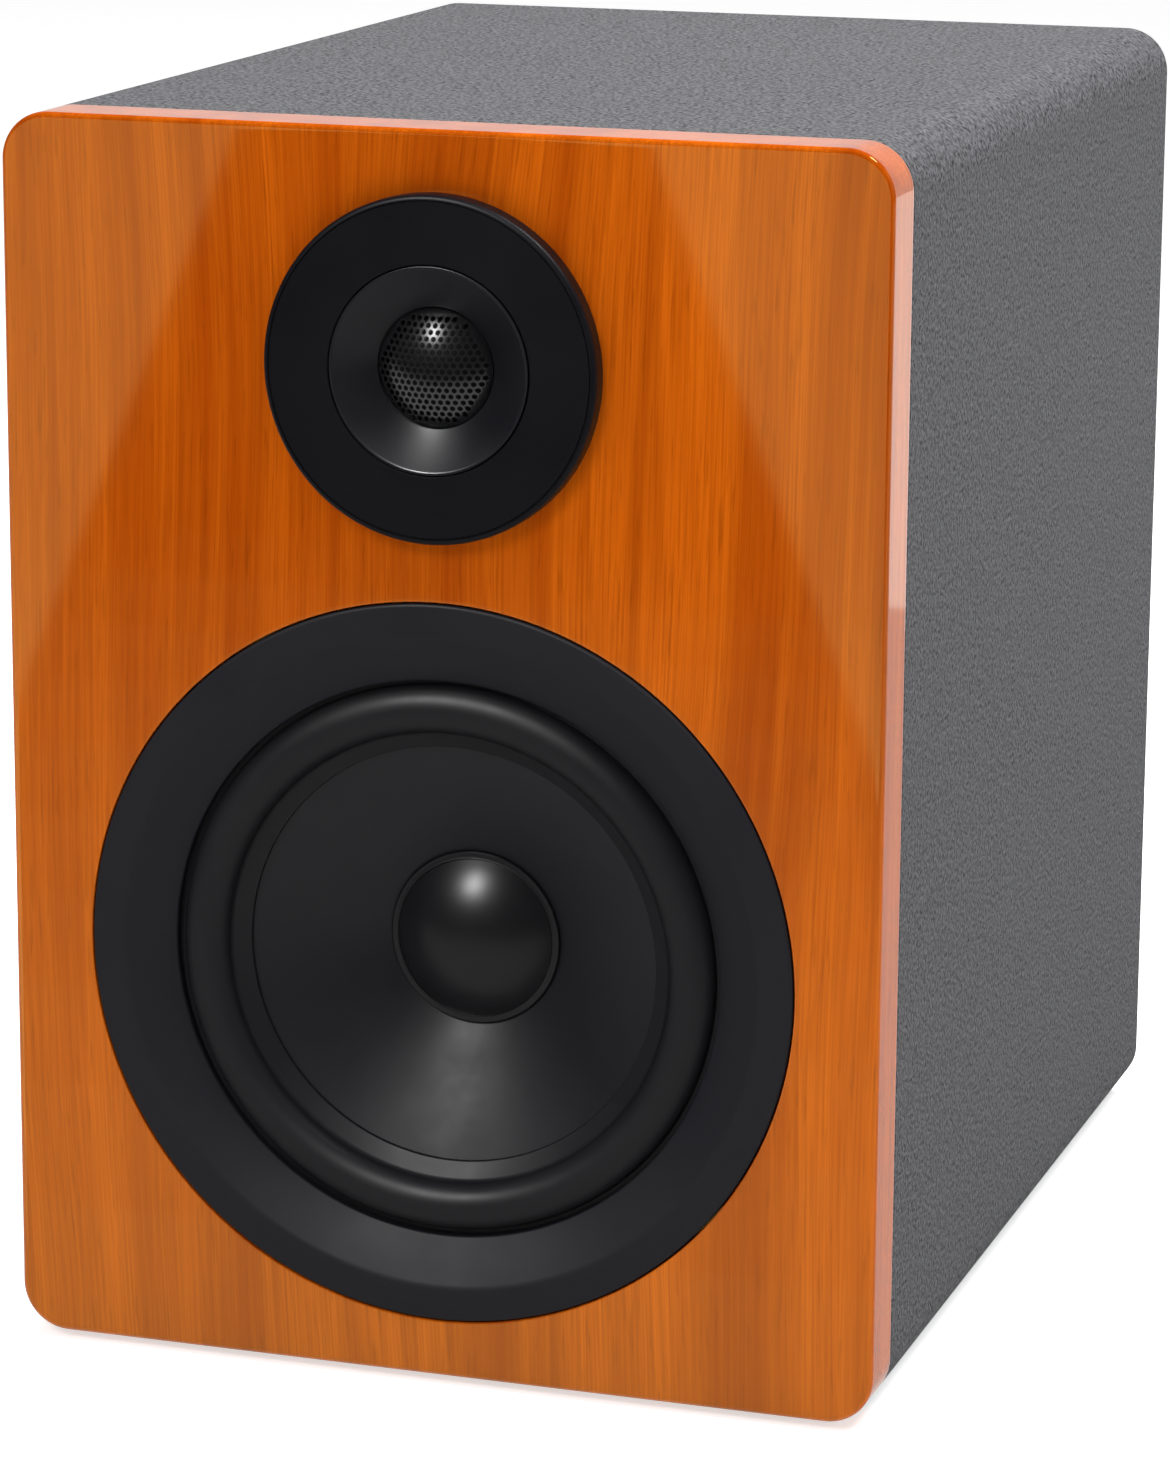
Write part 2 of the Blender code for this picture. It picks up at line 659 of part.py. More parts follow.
def make_amp_plate():
    """The metal plate that holds all the electronics, with studs for the circuit board."""
    outline = rounded_rectangle(PLATE_WIDTH, PLATE_HEIGHT, 0.004, 3)
    plate = slab("amp_plate", outline, PLATE_FRONT, PLATE_REAR, BLACK_ALUMINIUM, height=PLATE_MIDDLE)
    before, behind = PLATE_FRONT - 0.005, PLATE_REAR + 0.005

    def round_hole(name, x, height, radius, steps=COARSE_STEPS):
        cut(plate, disc(name, radius, before, behind, None, on_front(x, height), steps))

    round_hole("volume_hole_cut", VOLUME_X, UPPER_ROW, 0.0038)
    round_hole("treble_hole_cut", TREBLE_X, UPPER_ROW, 0.0038)
    round_hole("jack_hole_cut", JACK_X, UPPER_ROW, 0.0120, STEPS)
    round_hole("rca_hole_cut", RCA_X, UPPER_ROW, 0.0034)
    for x, height in plate_corners():
        round_hole("plate_hole_cut", x, height, 0.0020, SCREW_STEPS)
    cut(
        plate,
        box("inlet_hole_cut", (INLET_X, PLATE_REAR, LOWER_ROW), (0.0276, 0.02, 0.0341), None),
        box("switch_hole_cut", (SWITCH_X, PLATE_REAR, LOWER_ROW), (0.0156, 0.02, 0.0246), None),
    )
    for x in (-0.052, 0.052):
        for height in (PLATE_MIDDLE - 0.052, PLATE_MIDDLE + 0.052):
            stud_place = on_front(x, height)
            add(plate, disc("board_stud_join", 0.0028, 0.2449, PLATE_FRONT + 0.001, None, stud_place, SCREW_STEPS))


def make_amp_screws():
    for number, (x, height) in enumerate(plate_corners(), 1):
        head = (PLATE_REAR + 0.0023, PLATE_REAR + GAP)
        screw(f"amp_screw_{number}", x, height, 0.0033, head, 0.0016, 0.2632)


def make_amp_heatsink():
    """A base with upright fins, its comb-shaped section seen from above and extruded upwards."""
    width, height, base, reach, fins, fin = 0.132, 0.040, 0.0032, 0.0135, 12, 0.0016
    pitch = (width - fin) / (fins - 1)
    comb = [(width / 2, 0), (-width / 2, 0)]
    for number in range(fins):
        left = -width / 2 + number * pitch
        comb += [(left, reach), (left + fin, reach)]
        if number < fins - 1:
            comb += [(left + fin, base), (left + pitch, base)]
    mesh = flat_outline(comb, height)
    place = (0, FRONT_Y + PLATE_REAR + GAP, PLATE_MIDDLE + 0.056)
    mesh_object("amp_heatsink", mesh, BLACK_ALUMINIUM, place)


def make_amp_board():
    """The circuit board on the plate's studs, with its larger components."""
    front = 0.2430
    board = box("amp_board", (0, front + 0.0008, PLATE_MIDDLE), (0.118, 0.0016, 0.118), BOARD)
    blocks = [
        ((-0.034, front - 0.005, PLATE_MIDDLE + 0.046), (0.026, 0.0110, 0.010)),
        ((-0.030, front - 0.007, PLATE_MIDDLE - 0.020), (0.030, 0.0150, 0.024)),
        ((0.030, front - 0.006, PLATE_MIDDLE - 0.030), (0.022, 0.0130, 0.018)),
    ]
    for middle, size in blocks:
        add(board, box("component_join", middle, size, None))
    place = on_front(0.034, PLATE_MIDDLE + 0.022)
    disc("amp_capacitor", 0.0110, front - GAP - 0.025, front - GAP, BLACK_PLASTIC, place, COARSE_STEPS)


def make_transformer():
    """A ring-core transformer that stands on the bottom panel."""
    outer, core, height, round_over = 0.038, 0.010, 0.034, 0.006
    floor = BODY_MIDDLE - PANEL_IN_Z + GAP
    profile = [
        (outer - round_over, 0),
        (outer, round_over),
        (outer, height - round_over),
        (outer - round_over, height),
        (core, height),
        (core, 0),
    ]
    place = (0, FRONT_Y + 0.150, floor + height)
    turned("transformer", profile, COPPER, place, COARSE_STEPS, (0, 0, 0))


def make_knob(name, x):
    """A control knob made in one with its spindle, with a pointer slot that stands upright at rest."""
    rear, start = KNOB_REAR, PLATE_REAR + 0.0004
    profile = [
        (0, 0.2662),
        (0.0019, 0.2662),
        (0.0019, start + 0.0035),
        (0.0044, start + 0.0035),
        (0.0044, start),
        (0.0094, start),
        (0.0086, rear - 0.0010),
        (0.0076, rear),
        (0, rear),
    ]
    knob = turned(name, profile, BLACK_PLASTIC, on_front(x, UPPER_ROW), 24)
    cut(knob, box(f"{name}_pointer_cut", (x, rear, UPPER_ROW + 0.0062), (0.0010, 0.0010, 0.0070), None))


def make_pot(name, x):
    """A potentiometer: a round body behind the plate and a bush that the spindle runs in."""
    bush_end = PLATE_REAR + 0.0032
    profile = [
        (0.0080, 0.2605),
        (0.0080, PLATE_FRONT - GAP),
        (0.0035, PLATE_FRONT - GAP),
        (0.0035, bush_end),
        (0.0022, bush_end),
        (0.0022, 0.2605),
    ]
    turned(name, profile, STEEL, on_front(x, UPPER_ROW), COARSE_STEPS)


def make_combo_jack():
    """A round socket that takes a large plug round its insert or a small one down its middle."""
    flange, face = PLATE_REAR + GAP, PLATE_REAR + GAP + 0.0025
    place = on_front(JACK_X, UPPER_ROW)
    outline = rounded_rectangle(0.026, 0.031, 0.003, 2)
    jack = slab("combo_jack", outline, flange, face, BLACK_PLASTIC, JACK_X, UPPER_ROW)
    add(jack, disc("jack_body_join", 0.0117, 0.2520, flange + 0.001, None, place))
    groove = ring("jack_groove_cut", 0.0109, 0.0089, 0.2620, face + 0.001, None, place)
    middle = disc("jack_middle_cut", 0.0033, 0.2560, face + 0.001, None, place, COARSE_STEPS)
    trim = disc("jack_face_cut", 0.0095, face - 0.0008, face + 0.001, None, place)
    notch = box("latch_notch_cut", (JACK_X, flange, UPPER_ROW + 0.0140), (0.0088, 0.010, 0.0042), None)
    cut(jack, groove, middle, trim, notch)
    for angle in (90, 210, 330):
        x, height = JACK_X + 0.0062 * cos(radians(angle)), UPPER_ROW + 0.0062 * sin(radians(angle))
        cut(jack, disc("jack_pin_cut", 0.0013, 0.2640, face + 0.001, None, on_front(x, height), 10))


def make_jack_latch():
    size = (0.0082, 0.0034, 0.0030)
    box("jack_latch", (JACK_X, PLATE_REAR + 0.0018 + size[1] / 2, UPPER_ROW + 0.0138), size, STEEL)


def make_rca_jack():
    nut, nut_end, shell_end = PLATE_REAR + GAP, PLATE_REAR + 0.0025, PLATE_REAR + 0.0108
    profile = [
        (0, 0.2600),
        (0.0031, 0.2600),
        (0.0031, nut),
        (0.0057, nut),
        (0.0057, nut_end),
        (0.0042, nut_end),
        (0.0042, shell_end),
        (0.0035, shell_end),
        (0.0035, shell_end - 0.0006),
        (0.0017, shell_end - 0.0006),
        (0.0017, 0.2720),
        (0, 0.2720),
    ]
    turned("rca_jack", profile, STEEL, on_front(RCA_X, UPPER_ROW), COARSE_STEPS)


SOCKET_RISE = 0.0056
SOCKET_FLOOR = 0.2585
DRAWER_DROP = 0.0105


def make_power_inlet():
    """A mains inlet for a three-pin coupler, with a slot below for its fuse drawer."""
    flange, face = PLATE_REAR + GAP, PLATE_REAR + GAP + 0.0022
    outline = rounded_rectangle(0.0310, 0.0380, 0.002, 2)
    inlet = slab("power_inlet", outline, flange, face, BLACK_PLASTIC, INLET_X, LOWER_ROW)
    add(inlet, box("inlet_body_join", (INLET_X, 0.2625, LOWER_ROW), (0.0270, 0.0230, 0.0335), None))
    half_x, half_z, corner = 0.0120, 0.0081, 0.0045
    socket_outline = [
        (half_x, half_z),
        (-half_x, half_z),
        (-half_x, corner - half_z),
        (corner - half_x, -half_z),
        (half_x - corner, -half_z),
        (half_x, corner - half_z),
    ]
    middle = LOWER_ROW + SOCKET_RISE
    socket = slab("socket_cut", socket_outline, SOCKET_FLOOR, face + 0.001, None, INLET_X, middle)
    drawer = box("drawer_slot_cut", (INLET_X, 0.2660, LOWER_ROW - DRAWER_DROP), (0.0226, 0.0230, 0.0076), None)
    cut(inlet, socket, drawer)
    for x, rise in ((-0.007, 0.002), (0.0, -0.002), (0.007, 0.002)):
        pin_middle = (INLET_X + x, SOCKET_FLOOR + 0.006, middle + rise)
        add(inlet, box("inlet_pin_join", pin_middle, (0.0020, 0.0160, 0.0040), None))


def make_fuse_drawer():
    """The drawer in the inlet's slot, with a lip to pull it by."""
    front, face, height = 0.2551, PLATE_REAR + GAP + 0.0022, LOWER_ROW - DRAWER_DROP
    middle = (INLET_X, (front + face) / 2, height)
    drawer = box("fuse_drawer", middle, (0.0220, face - front, 0.0070), BLACK_PLASTIC)
    lip = box("drawer_lip_join", (INLET_X, face + 0.0004, height - 0.0025), (0.0090, 0.0020, 0.0016), None)
    add(drawer, lip)


ROCKER_DEPTH = PLATE_REAR - 0.0012
ROCKER_TILT = 7


def make_switch_housing():
    flange, face = PLATE_REAR + GAP, PLATE_REAR + GAP + 0.0020
    outline = rounded_rectangle(0.0180, 0.0270, 0.0015, 2)
    housing = slab("switch_housing", outline, flange, face, BLACK_PLASTIC, SWITCH_X, LOWER_ROW)
    add(housing, box("switch_body_join", (SWITCH_X, 0.2665, LOWER_ROW), (0.0150, 0.0150, 0.0240), None))
    well = box("switch_well_cut", (SWITCH_X, 0.2710, LOWER_ROW), (0.0114, 0.0130, 0.0214), None)
    pivot = pivot_rod("pivot_hole_cut", 0.0015, 0.0142)
    cut(housing, well, pivot)


def pivot_rod(name, radius, length):
    """A short rod along the rocker's axis, which joins or cuts the pieces that it passes through."""
    profile = [(0, -length / 2), (radius, -length / 2), (radius, length / 2), (0, length / 2)]
    place = (SWITCH_X, FRONT_Y + ROCKER_DEPTH, LOWER_ROW)
    return turned(name, profile, None, place, SCREW_STEPS, (0, radians(90), 0))


def make_power_rocker():
    """The rocker, its lower half pressed in at rest, with pivot pins that run in the housing."""
    outline = [
        (0.0096, 0.0046),
        (0, 0.0032),
        (-0.0096, 0.0046),
        (-0.0094, 0.0),
        (-0.0050, -0.0032),
        (0.0050, -0.0032),
        (0.0094, 0.0),
    ]
    mesh = flat_outline(outline, 0.0106)
    place = (SWITCH_X, FRONT_Y + ROCKER_DEPTH, LOWER_ROW)
    rocker = mesh_object("power_rocker", mesh, BLACK_PLASTIC, place)
    rocker.rotation_mode = "YXZ"
    rocker.rotation_euler = (radians(-ROCKER_TILT), radians(-90), 0)
    add(rocker, pivot_rod("pivot_pin_join", 0.0012, 0.0132))


# Leads


def smooth_route(points, spacing):
    """Points along a Catmull-Rom curve through a route's points, about this far apart."""
    padded = [points[0], *points, points[-1]]
    found = []
    for before, start, end, after in zip(padded, padded[1:], padded[2:], padded[3:]):
        length = hypot(*(b - a for a, b in zip(start, end)))
        count = max(1, round(length / spacing))
        for step in range(count):
            t = step / count
            weights = (-t + 2 * t**2 - t**3, 2 - 5 * t**2 + 3 * t**3, t + 4 * t**2 - 3 * t**3, -(t**2) + t**3)
            corners = (before, start, end, after)
            found.append([sum(w * c[k] for w, c in zip(weights, corners)) / 2 for k in range(3)])
    return [*found, points[-1]]


def lead(name, route, radius):
    """A two-core lead along a route of (x, depth, height) points."""
    curve = bpy.data.curves.new(name, "CURVE")
    curve.dimensions = "3D"
    curve.bevel_depth = radius
    curve.bevel_resolution = 2
    curve.use_fill_caps = True
    points = smooth_route(route, 6 * radius)
    spline = curve.splines.new("POLY")
    spline.points.add(len(points) - 1)
    for point, (x, depth, height) in zip(spline.points, points):
        point.co = (x, FRONT_Y + depth, height, 1)
    mesh_object(name, mesh_of_curve(curve_object(curve)), LEAD_JACKET)


def curve_object(curve):
    made = bpy.data.objects.new(curve.name, curve)
    PARTS.objects.link(made)
    return made


def make_leads():
    board = 0.2427
    woofer_route = [
        (-0.045, board, 0.135),
        (-0.045, board - 0.018, 0.137),
        (-0.040, 0.180, 0.150),
        (-0.018, 0.120, 0.162),
        (-0.002, 0.070, 0.166),
        (0.0, 0.045, 0.1600),
        (0.0, 0.0313, WOOFER_HEIGHT + 0.0619),
    ]
    lead("woofer_lead", woofer_route, 0.0014)
    tweeter_route = [
        (0.012, board, 0.158),
        (0.012, board - 0.018, 0.160),
        (0.020, 0.170, 0.176),
        (0.018, 0.110, 0.190),
        (0.006, 0.060, 0.205),
        (0.0, 0.034, TWEETER_HEIGHT - 0.0165),
        (0.0, 0.0206, TWEETER_HEIGHT - 0.0165),
    ]
    lead("tweeter_lead", tweeter_route, 0.0012)


# The whole


def settle(piece):
    """Replaces a piece's mesh by its finished shape, and shades its round faces smooth."""
    graph = bpy.context.evaluated_depsgraph_get()
    mesh = bpy.data.meshes.new_from_object(piece.evaluated_get(graph))
    piece.modifiers.clear()
    piece.data = mesh
    mesh.shade_smooth()
    mesh.set_sharp_from_angle(angle=radians(32))


def main():
    make_front_baffle()
    make_panels()
    make_vinyl_wrap()
    make_rear_panel()
    make_port_tube()
    make_feet()
    make_woofer_ring()
    make_woofer_basket()
    make_woofer_surround()
    make_woofer_cone()
    make_woofer_cap()
    make_woofer_coil()
    make_woofer_spider()
    make_woofer_motor()
    make_woofer_terminals()
    make_woofer_screws()
    make_tweeter_ring()
    make_tweeter_faceplate()
    make_tweeter_mesh()
    make_tweeter_dome()
    make_tweeter_motor()
    make_tweeter_screws()
    make_amp_plate()
    make_amp_screws()
    make_amp_heatsink()
    make_amp_board()
    make_transformer()
    for side, x in (("volume", VOLUME_X), ("treble", TREBLE_X)):
        make_knob(f"{side}_knob", x)
        make_pot(f"{side}_pot", x)
    make_combo_jack()
    make_jack_latch()
    make_rca_jack()
    make_power_inlet()
    make_fuse_drawer()
    make_switch_housing()
    make_power_rocker()
    make_leads()
    bpy.context.view_layer.update()
    for piece in PARTS.objects:
        settle(piece)


main()
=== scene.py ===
"""Looks for a two-way powered desktop speaker: its lacquered front, vinyl cabinet, drivers and rear controls.

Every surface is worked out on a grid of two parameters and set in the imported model's frame. Profiles are in
millimetres, as (radius, depth) with the depth counted backwards from the front of the baffle.
"""

import sys
import json
from math import cos, pi, radians, sin

import bmesh
import bpy
import numpy as np
from bpy.props import FloatProperty, FloatVectorProperty, PointerProperty
from mathutils import Matrix, Vector
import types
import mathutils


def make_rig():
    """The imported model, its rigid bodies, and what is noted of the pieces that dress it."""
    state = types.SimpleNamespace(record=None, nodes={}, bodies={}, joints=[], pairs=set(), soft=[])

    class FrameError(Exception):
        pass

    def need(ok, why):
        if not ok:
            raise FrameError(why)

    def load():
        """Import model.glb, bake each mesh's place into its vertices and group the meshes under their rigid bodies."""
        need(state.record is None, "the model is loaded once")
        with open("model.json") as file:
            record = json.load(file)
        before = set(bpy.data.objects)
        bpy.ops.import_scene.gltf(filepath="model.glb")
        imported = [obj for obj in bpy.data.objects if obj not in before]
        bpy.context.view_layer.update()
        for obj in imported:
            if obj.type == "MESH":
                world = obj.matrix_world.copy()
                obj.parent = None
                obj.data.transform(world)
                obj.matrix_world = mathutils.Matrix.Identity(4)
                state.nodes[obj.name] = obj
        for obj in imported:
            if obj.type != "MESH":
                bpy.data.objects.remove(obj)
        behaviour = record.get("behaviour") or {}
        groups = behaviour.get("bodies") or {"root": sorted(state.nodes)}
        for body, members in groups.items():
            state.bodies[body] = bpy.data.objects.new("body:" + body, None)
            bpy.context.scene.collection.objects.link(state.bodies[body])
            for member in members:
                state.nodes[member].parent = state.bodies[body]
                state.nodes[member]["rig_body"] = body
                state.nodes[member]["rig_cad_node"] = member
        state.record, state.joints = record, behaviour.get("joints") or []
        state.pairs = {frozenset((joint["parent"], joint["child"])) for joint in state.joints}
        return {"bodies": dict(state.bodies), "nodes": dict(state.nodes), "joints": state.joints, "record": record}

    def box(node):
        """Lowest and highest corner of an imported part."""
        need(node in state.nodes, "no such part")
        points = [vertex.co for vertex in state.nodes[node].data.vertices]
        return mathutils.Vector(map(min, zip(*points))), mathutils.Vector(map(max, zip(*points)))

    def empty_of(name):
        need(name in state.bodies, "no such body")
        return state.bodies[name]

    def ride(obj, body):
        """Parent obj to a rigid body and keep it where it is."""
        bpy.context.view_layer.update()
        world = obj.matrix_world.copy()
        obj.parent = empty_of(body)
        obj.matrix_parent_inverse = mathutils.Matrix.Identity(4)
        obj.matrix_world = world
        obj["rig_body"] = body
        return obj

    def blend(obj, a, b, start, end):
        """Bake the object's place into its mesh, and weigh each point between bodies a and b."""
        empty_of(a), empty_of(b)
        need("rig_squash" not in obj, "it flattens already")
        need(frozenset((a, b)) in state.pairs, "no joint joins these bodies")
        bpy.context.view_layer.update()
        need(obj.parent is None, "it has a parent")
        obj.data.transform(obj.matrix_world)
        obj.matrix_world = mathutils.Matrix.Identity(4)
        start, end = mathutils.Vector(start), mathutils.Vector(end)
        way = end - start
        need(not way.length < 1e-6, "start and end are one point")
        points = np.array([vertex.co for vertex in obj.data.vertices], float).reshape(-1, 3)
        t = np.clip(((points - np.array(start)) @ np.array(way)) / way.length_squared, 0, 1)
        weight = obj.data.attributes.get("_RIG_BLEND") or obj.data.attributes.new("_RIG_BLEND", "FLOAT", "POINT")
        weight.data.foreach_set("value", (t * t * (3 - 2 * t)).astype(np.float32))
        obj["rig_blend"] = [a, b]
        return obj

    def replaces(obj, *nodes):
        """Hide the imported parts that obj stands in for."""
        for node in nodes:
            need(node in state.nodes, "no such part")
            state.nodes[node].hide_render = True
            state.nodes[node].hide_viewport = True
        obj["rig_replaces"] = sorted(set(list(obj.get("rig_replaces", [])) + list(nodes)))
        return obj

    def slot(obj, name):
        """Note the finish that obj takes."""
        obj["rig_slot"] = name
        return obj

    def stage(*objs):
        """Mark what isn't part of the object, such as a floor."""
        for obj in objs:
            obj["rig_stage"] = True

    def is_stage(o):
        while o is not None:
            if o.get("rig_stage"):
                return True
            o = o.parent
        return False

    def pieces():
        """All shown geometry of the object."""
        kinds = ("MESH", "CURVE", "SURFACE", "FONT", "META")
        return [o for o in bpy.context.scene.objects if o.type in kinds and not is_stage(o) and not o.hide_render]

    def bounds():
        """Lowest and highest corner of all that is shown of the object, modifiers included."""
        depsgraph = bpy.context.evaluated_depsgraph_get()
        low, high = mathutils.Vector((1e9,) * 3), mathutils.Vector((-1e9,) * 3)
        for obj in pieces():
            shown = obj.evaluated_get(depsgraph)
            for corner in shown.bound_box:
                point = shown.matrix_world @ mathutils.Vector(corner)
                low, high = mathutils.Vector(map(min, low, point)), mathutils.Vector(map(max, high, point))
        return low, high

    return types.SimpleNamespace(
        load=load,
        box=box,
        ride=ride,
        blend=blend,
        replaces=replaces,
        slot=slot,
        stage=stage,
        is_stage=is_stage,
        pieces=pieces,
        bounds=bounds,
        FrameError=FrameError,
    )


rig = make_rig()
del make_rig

bl_info = {
    "name": "Desktop speaker maker",
    "version": (1, 0, 0),
    "blender": (4, 5, 0),
    "location": "3D View > Sidebar > Speaker",
    "description": "Makes the surfaces, finishes and studio of a two-way powered desktop speaker",
    "category": "Add Mesh",
}

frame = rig.load()
CAD_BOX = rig.bounds()

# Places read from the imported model, in metres

MM = 0.001
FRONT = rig.box("front_baffle")[0].y
WOOFER = sum(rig.box("woofer_trim_ring"), Vector()) / 2
TWEETER = sum(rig.box("tweeter_trim_ring"), Vector()) / 2
BAFFLE_LOW, BAFFLE_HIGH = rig.box("front_baffle")
CABINET_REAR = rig.box("vinyl_wrap")[1].y
BODY_MIDDLE = (BAFFLE_LOW.z + BAFFLE_HIGH.z) / 2
WIDTH = BAFFLE_HIGH.x - BAFFLE_LOW.x
HEIGHT = BAFFLE_HIGH.z - BAFFLE_LOW.z
SHARP_ANGLE = radians(38)
WELD_GAP = 2e-6


# Grids


def grid_faces(rows, columns, closed_rows=True, closed_columns=True):
    """Four-cornered faces between neighbouring rows and columns of a grid of points, joined where closed."""
    index = np.arange(rows * columns).reshape(rows, columns)
    if closed_rows:
        index = np.vstack([index, index[:1]])
    if closed_columns:
        index = np.hstack([index, index[:, :1]])
    corners = [index[:-1, :-1], index[:-1, 1:], index[1:, 1:], index[1:, :-1]]
    return np.stack(corners, axis=-1).reshape(-1, 4)


def fill_mesh(mesh, points, faces):
    mesh.vertices.add(len(points))
    mesh.vertices.foreach_set("co", np.ascontiguousarray(points, np.float32).ravel())
    mesh.loops.add(faces.size)
    mesh.loops.foreach_set("vertex_index", faces.astype(np.int32).ravel())
    mesh.polygons.add(len(faces))
    mesh.polygons.foreach_set("loop_start", np.arange(0, faces.size, 4, dtype=np.int32))
    mesh.update(calc_edges=True)


def weld(mesh):
    """Closes seams and poles: points that coincide become one, collapsed faces go, and all face outwards."""
    shape = bmesh.new()
    shape.from_mesh(mesh)
    bmesh.ops.remove_doubles(shape, verts=shape.verts, dist=WELD_GAP)
    bmesh.ops.dissolve_degenerate(shape, edges=shape.edges, dist=WELD_GAP / 4)
    bmesh.ops.recalc_face_normals(shape, faces=shape.faces)
    shape.to_mesh(mesh)
    shape.free()


def shade(mesh, sharp=SHARP_ANGLE):
    mesh.shade_smooth()
    mesh.set_sharp_from_angle(angle=sharp)


def grid_piece(name, points, faces, finish, sharp=SHARP_ANGLE):
    """A new piece of these points, in metres in the model's frame, and these faces."""
    mesh = bpy.data.meshes.new(name)
    fill_mesh(mesh, points.reshape(-1, 3), faces)
    weld(mesh)
    shade(mesh, sharp)
    mesh.materials.append(finish)
    made = bpy.data.objects.new(name, mesh)
    bpy.context.scene.collection.objects.link(made)
    return made


def belongs(made, slot, body, *nodes):
    """Says which CAD nodes a piece stands for, its material slot and the body that it rides on."""
    if nodes:
        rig.replaces(made, *nodes)
    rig.slot(made, slot)
    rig.ride(made, body)
    return made


def eased(corners, setback, steps=4):
    """A closed profile with its corners rounded.

    Each corner becomes a parabola whose control point is the corner and whose ends lie the setback away
    along its two sides, or less on a short side. A corner on the axis stays as it is.
    """
    corners = np.asarray(corners, float)
    back, ahead = np.roll(corners, 1, axis=0) - corners, np.roll(corners, -1, axis=0) - corners
    back_length = np.maximum(np.linalg.norm(back, axis=1), 1e-9)
    ahead_length = np.maximum(np.linalg.norm(ahead, axis=1), 1e-9)
    reach = np.broadcast_to(np.asarray(setback, float), len(corners)).copy()
    reach[corners[:, 0] == 0] = 0
    reach = np.minimum(reach, 0.45 * np.minimum(back_length, ahead_length))
    start = corners + back * (reach / back_length)[:, None]
    end = corners + ahead * (reach / ahead_length)[:, None]
    t = np.linspace(0, 1, steps + 1)[None, :, None]
    curve = (1 - t) ** 2 * start[:, None] + 2 * t * (1 - t) * corners[:, None] + t**2 * end[:, None]
    return curve.reshape(-1, 2)


def turned_grid(profile, x, z, steps):
    """Grid of a profile of (radius, depth) in millimetres turned about the front-to-back axis at x and z."""
    radius, depth = np.asarray(profile, float).T * MM
    angle = np.linspace(0, 2 * pi, steps, endpoint=False)
    grid = np.empty((len(radius), steps, 3))
    grid[..., 0] = x + radius[:, None] * np.cos(angle)
    grid[..., 1] = FRONT + depth[:, None]
    grid[..., 2] = z + radius[:, None] * np.sin(angle)
    return grid


def turned_piece(name, profile, middle, finish, steps):
    """A closed profile turned about the axis through a middle point, in so many steps."""
    grid = turned_grid(profile, middle[0], middle[2], steps)
    return grid_piece(name, grid, grid_faces(len(grid), steps), finish)


def upright_grid(profile, x, y, steps):
    """Grid of a profile of (radius, height) in millimetres turned about the upright axis through x and y."""
    radius, height = np.asarray(profile, float).T * MM
    angle = np.linspace(0, 2 * pi, steps, endpoint=False)
    grid = np.empty((len(radius), steps, 3))
    grid[..., 0] = x + radius[:, None] * np.cos(angle)
    grid[..., 1] = y + radius[:, None] * np.sin(angle)
    grid[..., 2] = height[:, None]
    return grid


def cap_depth(radius, apex, edge_radius, rise):
    """Depth of a spherical cap at a radius, where the cap stands proud of its edge by its rise."""
    sphere = (edge_radius**2 + rise**2) / (2 * rise)
    return apex + sphere - np.sqrt(sphere**2 - radius**2)


def shell_cap(apex, edge_radius, rise, thickness, count=28):
    """Front and back curves of a thin spherical cap, each from the axis outwards."""
    radius = np.linspace(0, edge_radius, count)
    front = np.column_stack([radius, cap_depth(radius, apex, edge_radius, rise)])
    return front, front + (0, thickness)


def core_of(half_x, half_z, across, up, corner_steps=12):
    """Anticlockwise points of a rounded rectangle's core, with the outward direction at each.

    The core is the rectangle through the corners' centres. The outline at any inset is the core plus the
    directions times the corner radius less the inset, so all insets have matching points. across and up say
    where the straight sides are divided.
    """
    core, direction = [], []
    turn = np.linspace(0, pi / 2, corner_steps + 2)[1:-1]
    sides = ((1, 0, up), (0, 1, across[::-1]), (-1, 0, up[::-1]), (0, -1, across))
    for quarter, (face_x, face_z, along) in enumerate(sides):
        if face_x:
            core.append(np.column_stack([np.full(len(along), face_x * half_x), along]))
        else:
            core.append(np.column_stack([along, np.full(len(along), face_z * half_z)]))
        direction.append(np.tile((face_x, face_z), (len(along), 1)))
        core.append(np.tile(core[-1][-1], (len(turn), 1)))
        angle = quarter * pi / 2 + turn
        direction.append(np.column_stack([np.cos(angle), np.sin(angle)]))
    return np.vstack(core), np.vstack(direction)


def at_depth(flat, depth):
    """Points of the front's plane, as (x, height) in metres, moved back to a depth in metres."""
    points = np.empty((*flat.shape[:-1], 3))
    points[..., 0], points[..., 2] = flat[..., 0], flat[..., 1]
    points[..., 1] = FRONT + depth
    return points


def joined(grids):
    """Points and faces of several grids whose columns are closed and whose rows are open, as one mesh's."""
    points, faces, count = [], [], 0
    for grid in grids:
        points.append(grid.reshape(-1, 3))
        faces.append(grid_faces(*grid.shape[:2], closed_rows=False) + count)
        count += len(points[-1])
    return np.vstack(points), np.vstack(faces)


def faced_grid(middle, size, corner, rows, turn=0.0, divisions=9):
    """Grid of a solid whose section is a rounded rectangle at some depths and a circle at others.

    Each row is ("edge", inset, depth) for the rectangle at an inset, or ("round", radius, depth) for a circle
    whose points lie at the angles of the rectangle's. Lengths are in millimetres, and turn is about the
    front-to-back axis through the middle.
    """
    half = np.array(size) * MM / 2 - corner * MM
    core, direction = core_of(*half, *(np.linspace(-h, h, divisions) for h in half), 4)
    outline = core + direction * corner * MM
    angle = np.arctan2(outline[:, 1], outline[:, 0])
    ring = np.column_stack([np.cos(angle), np.sin(angle)])
    turned_by = np.array([(cos(turn), sin(turn)), (-sin(turn), cos(turn))])
    grid = []
    for kind, value, depth in rows:
        flat = core + direction * (corner - value) * MM if kind == "edge" else ring * value * MM
        grid.append(at_depth(flat @ turned_by + middle, depth * MM))
    return np.stack(grid)


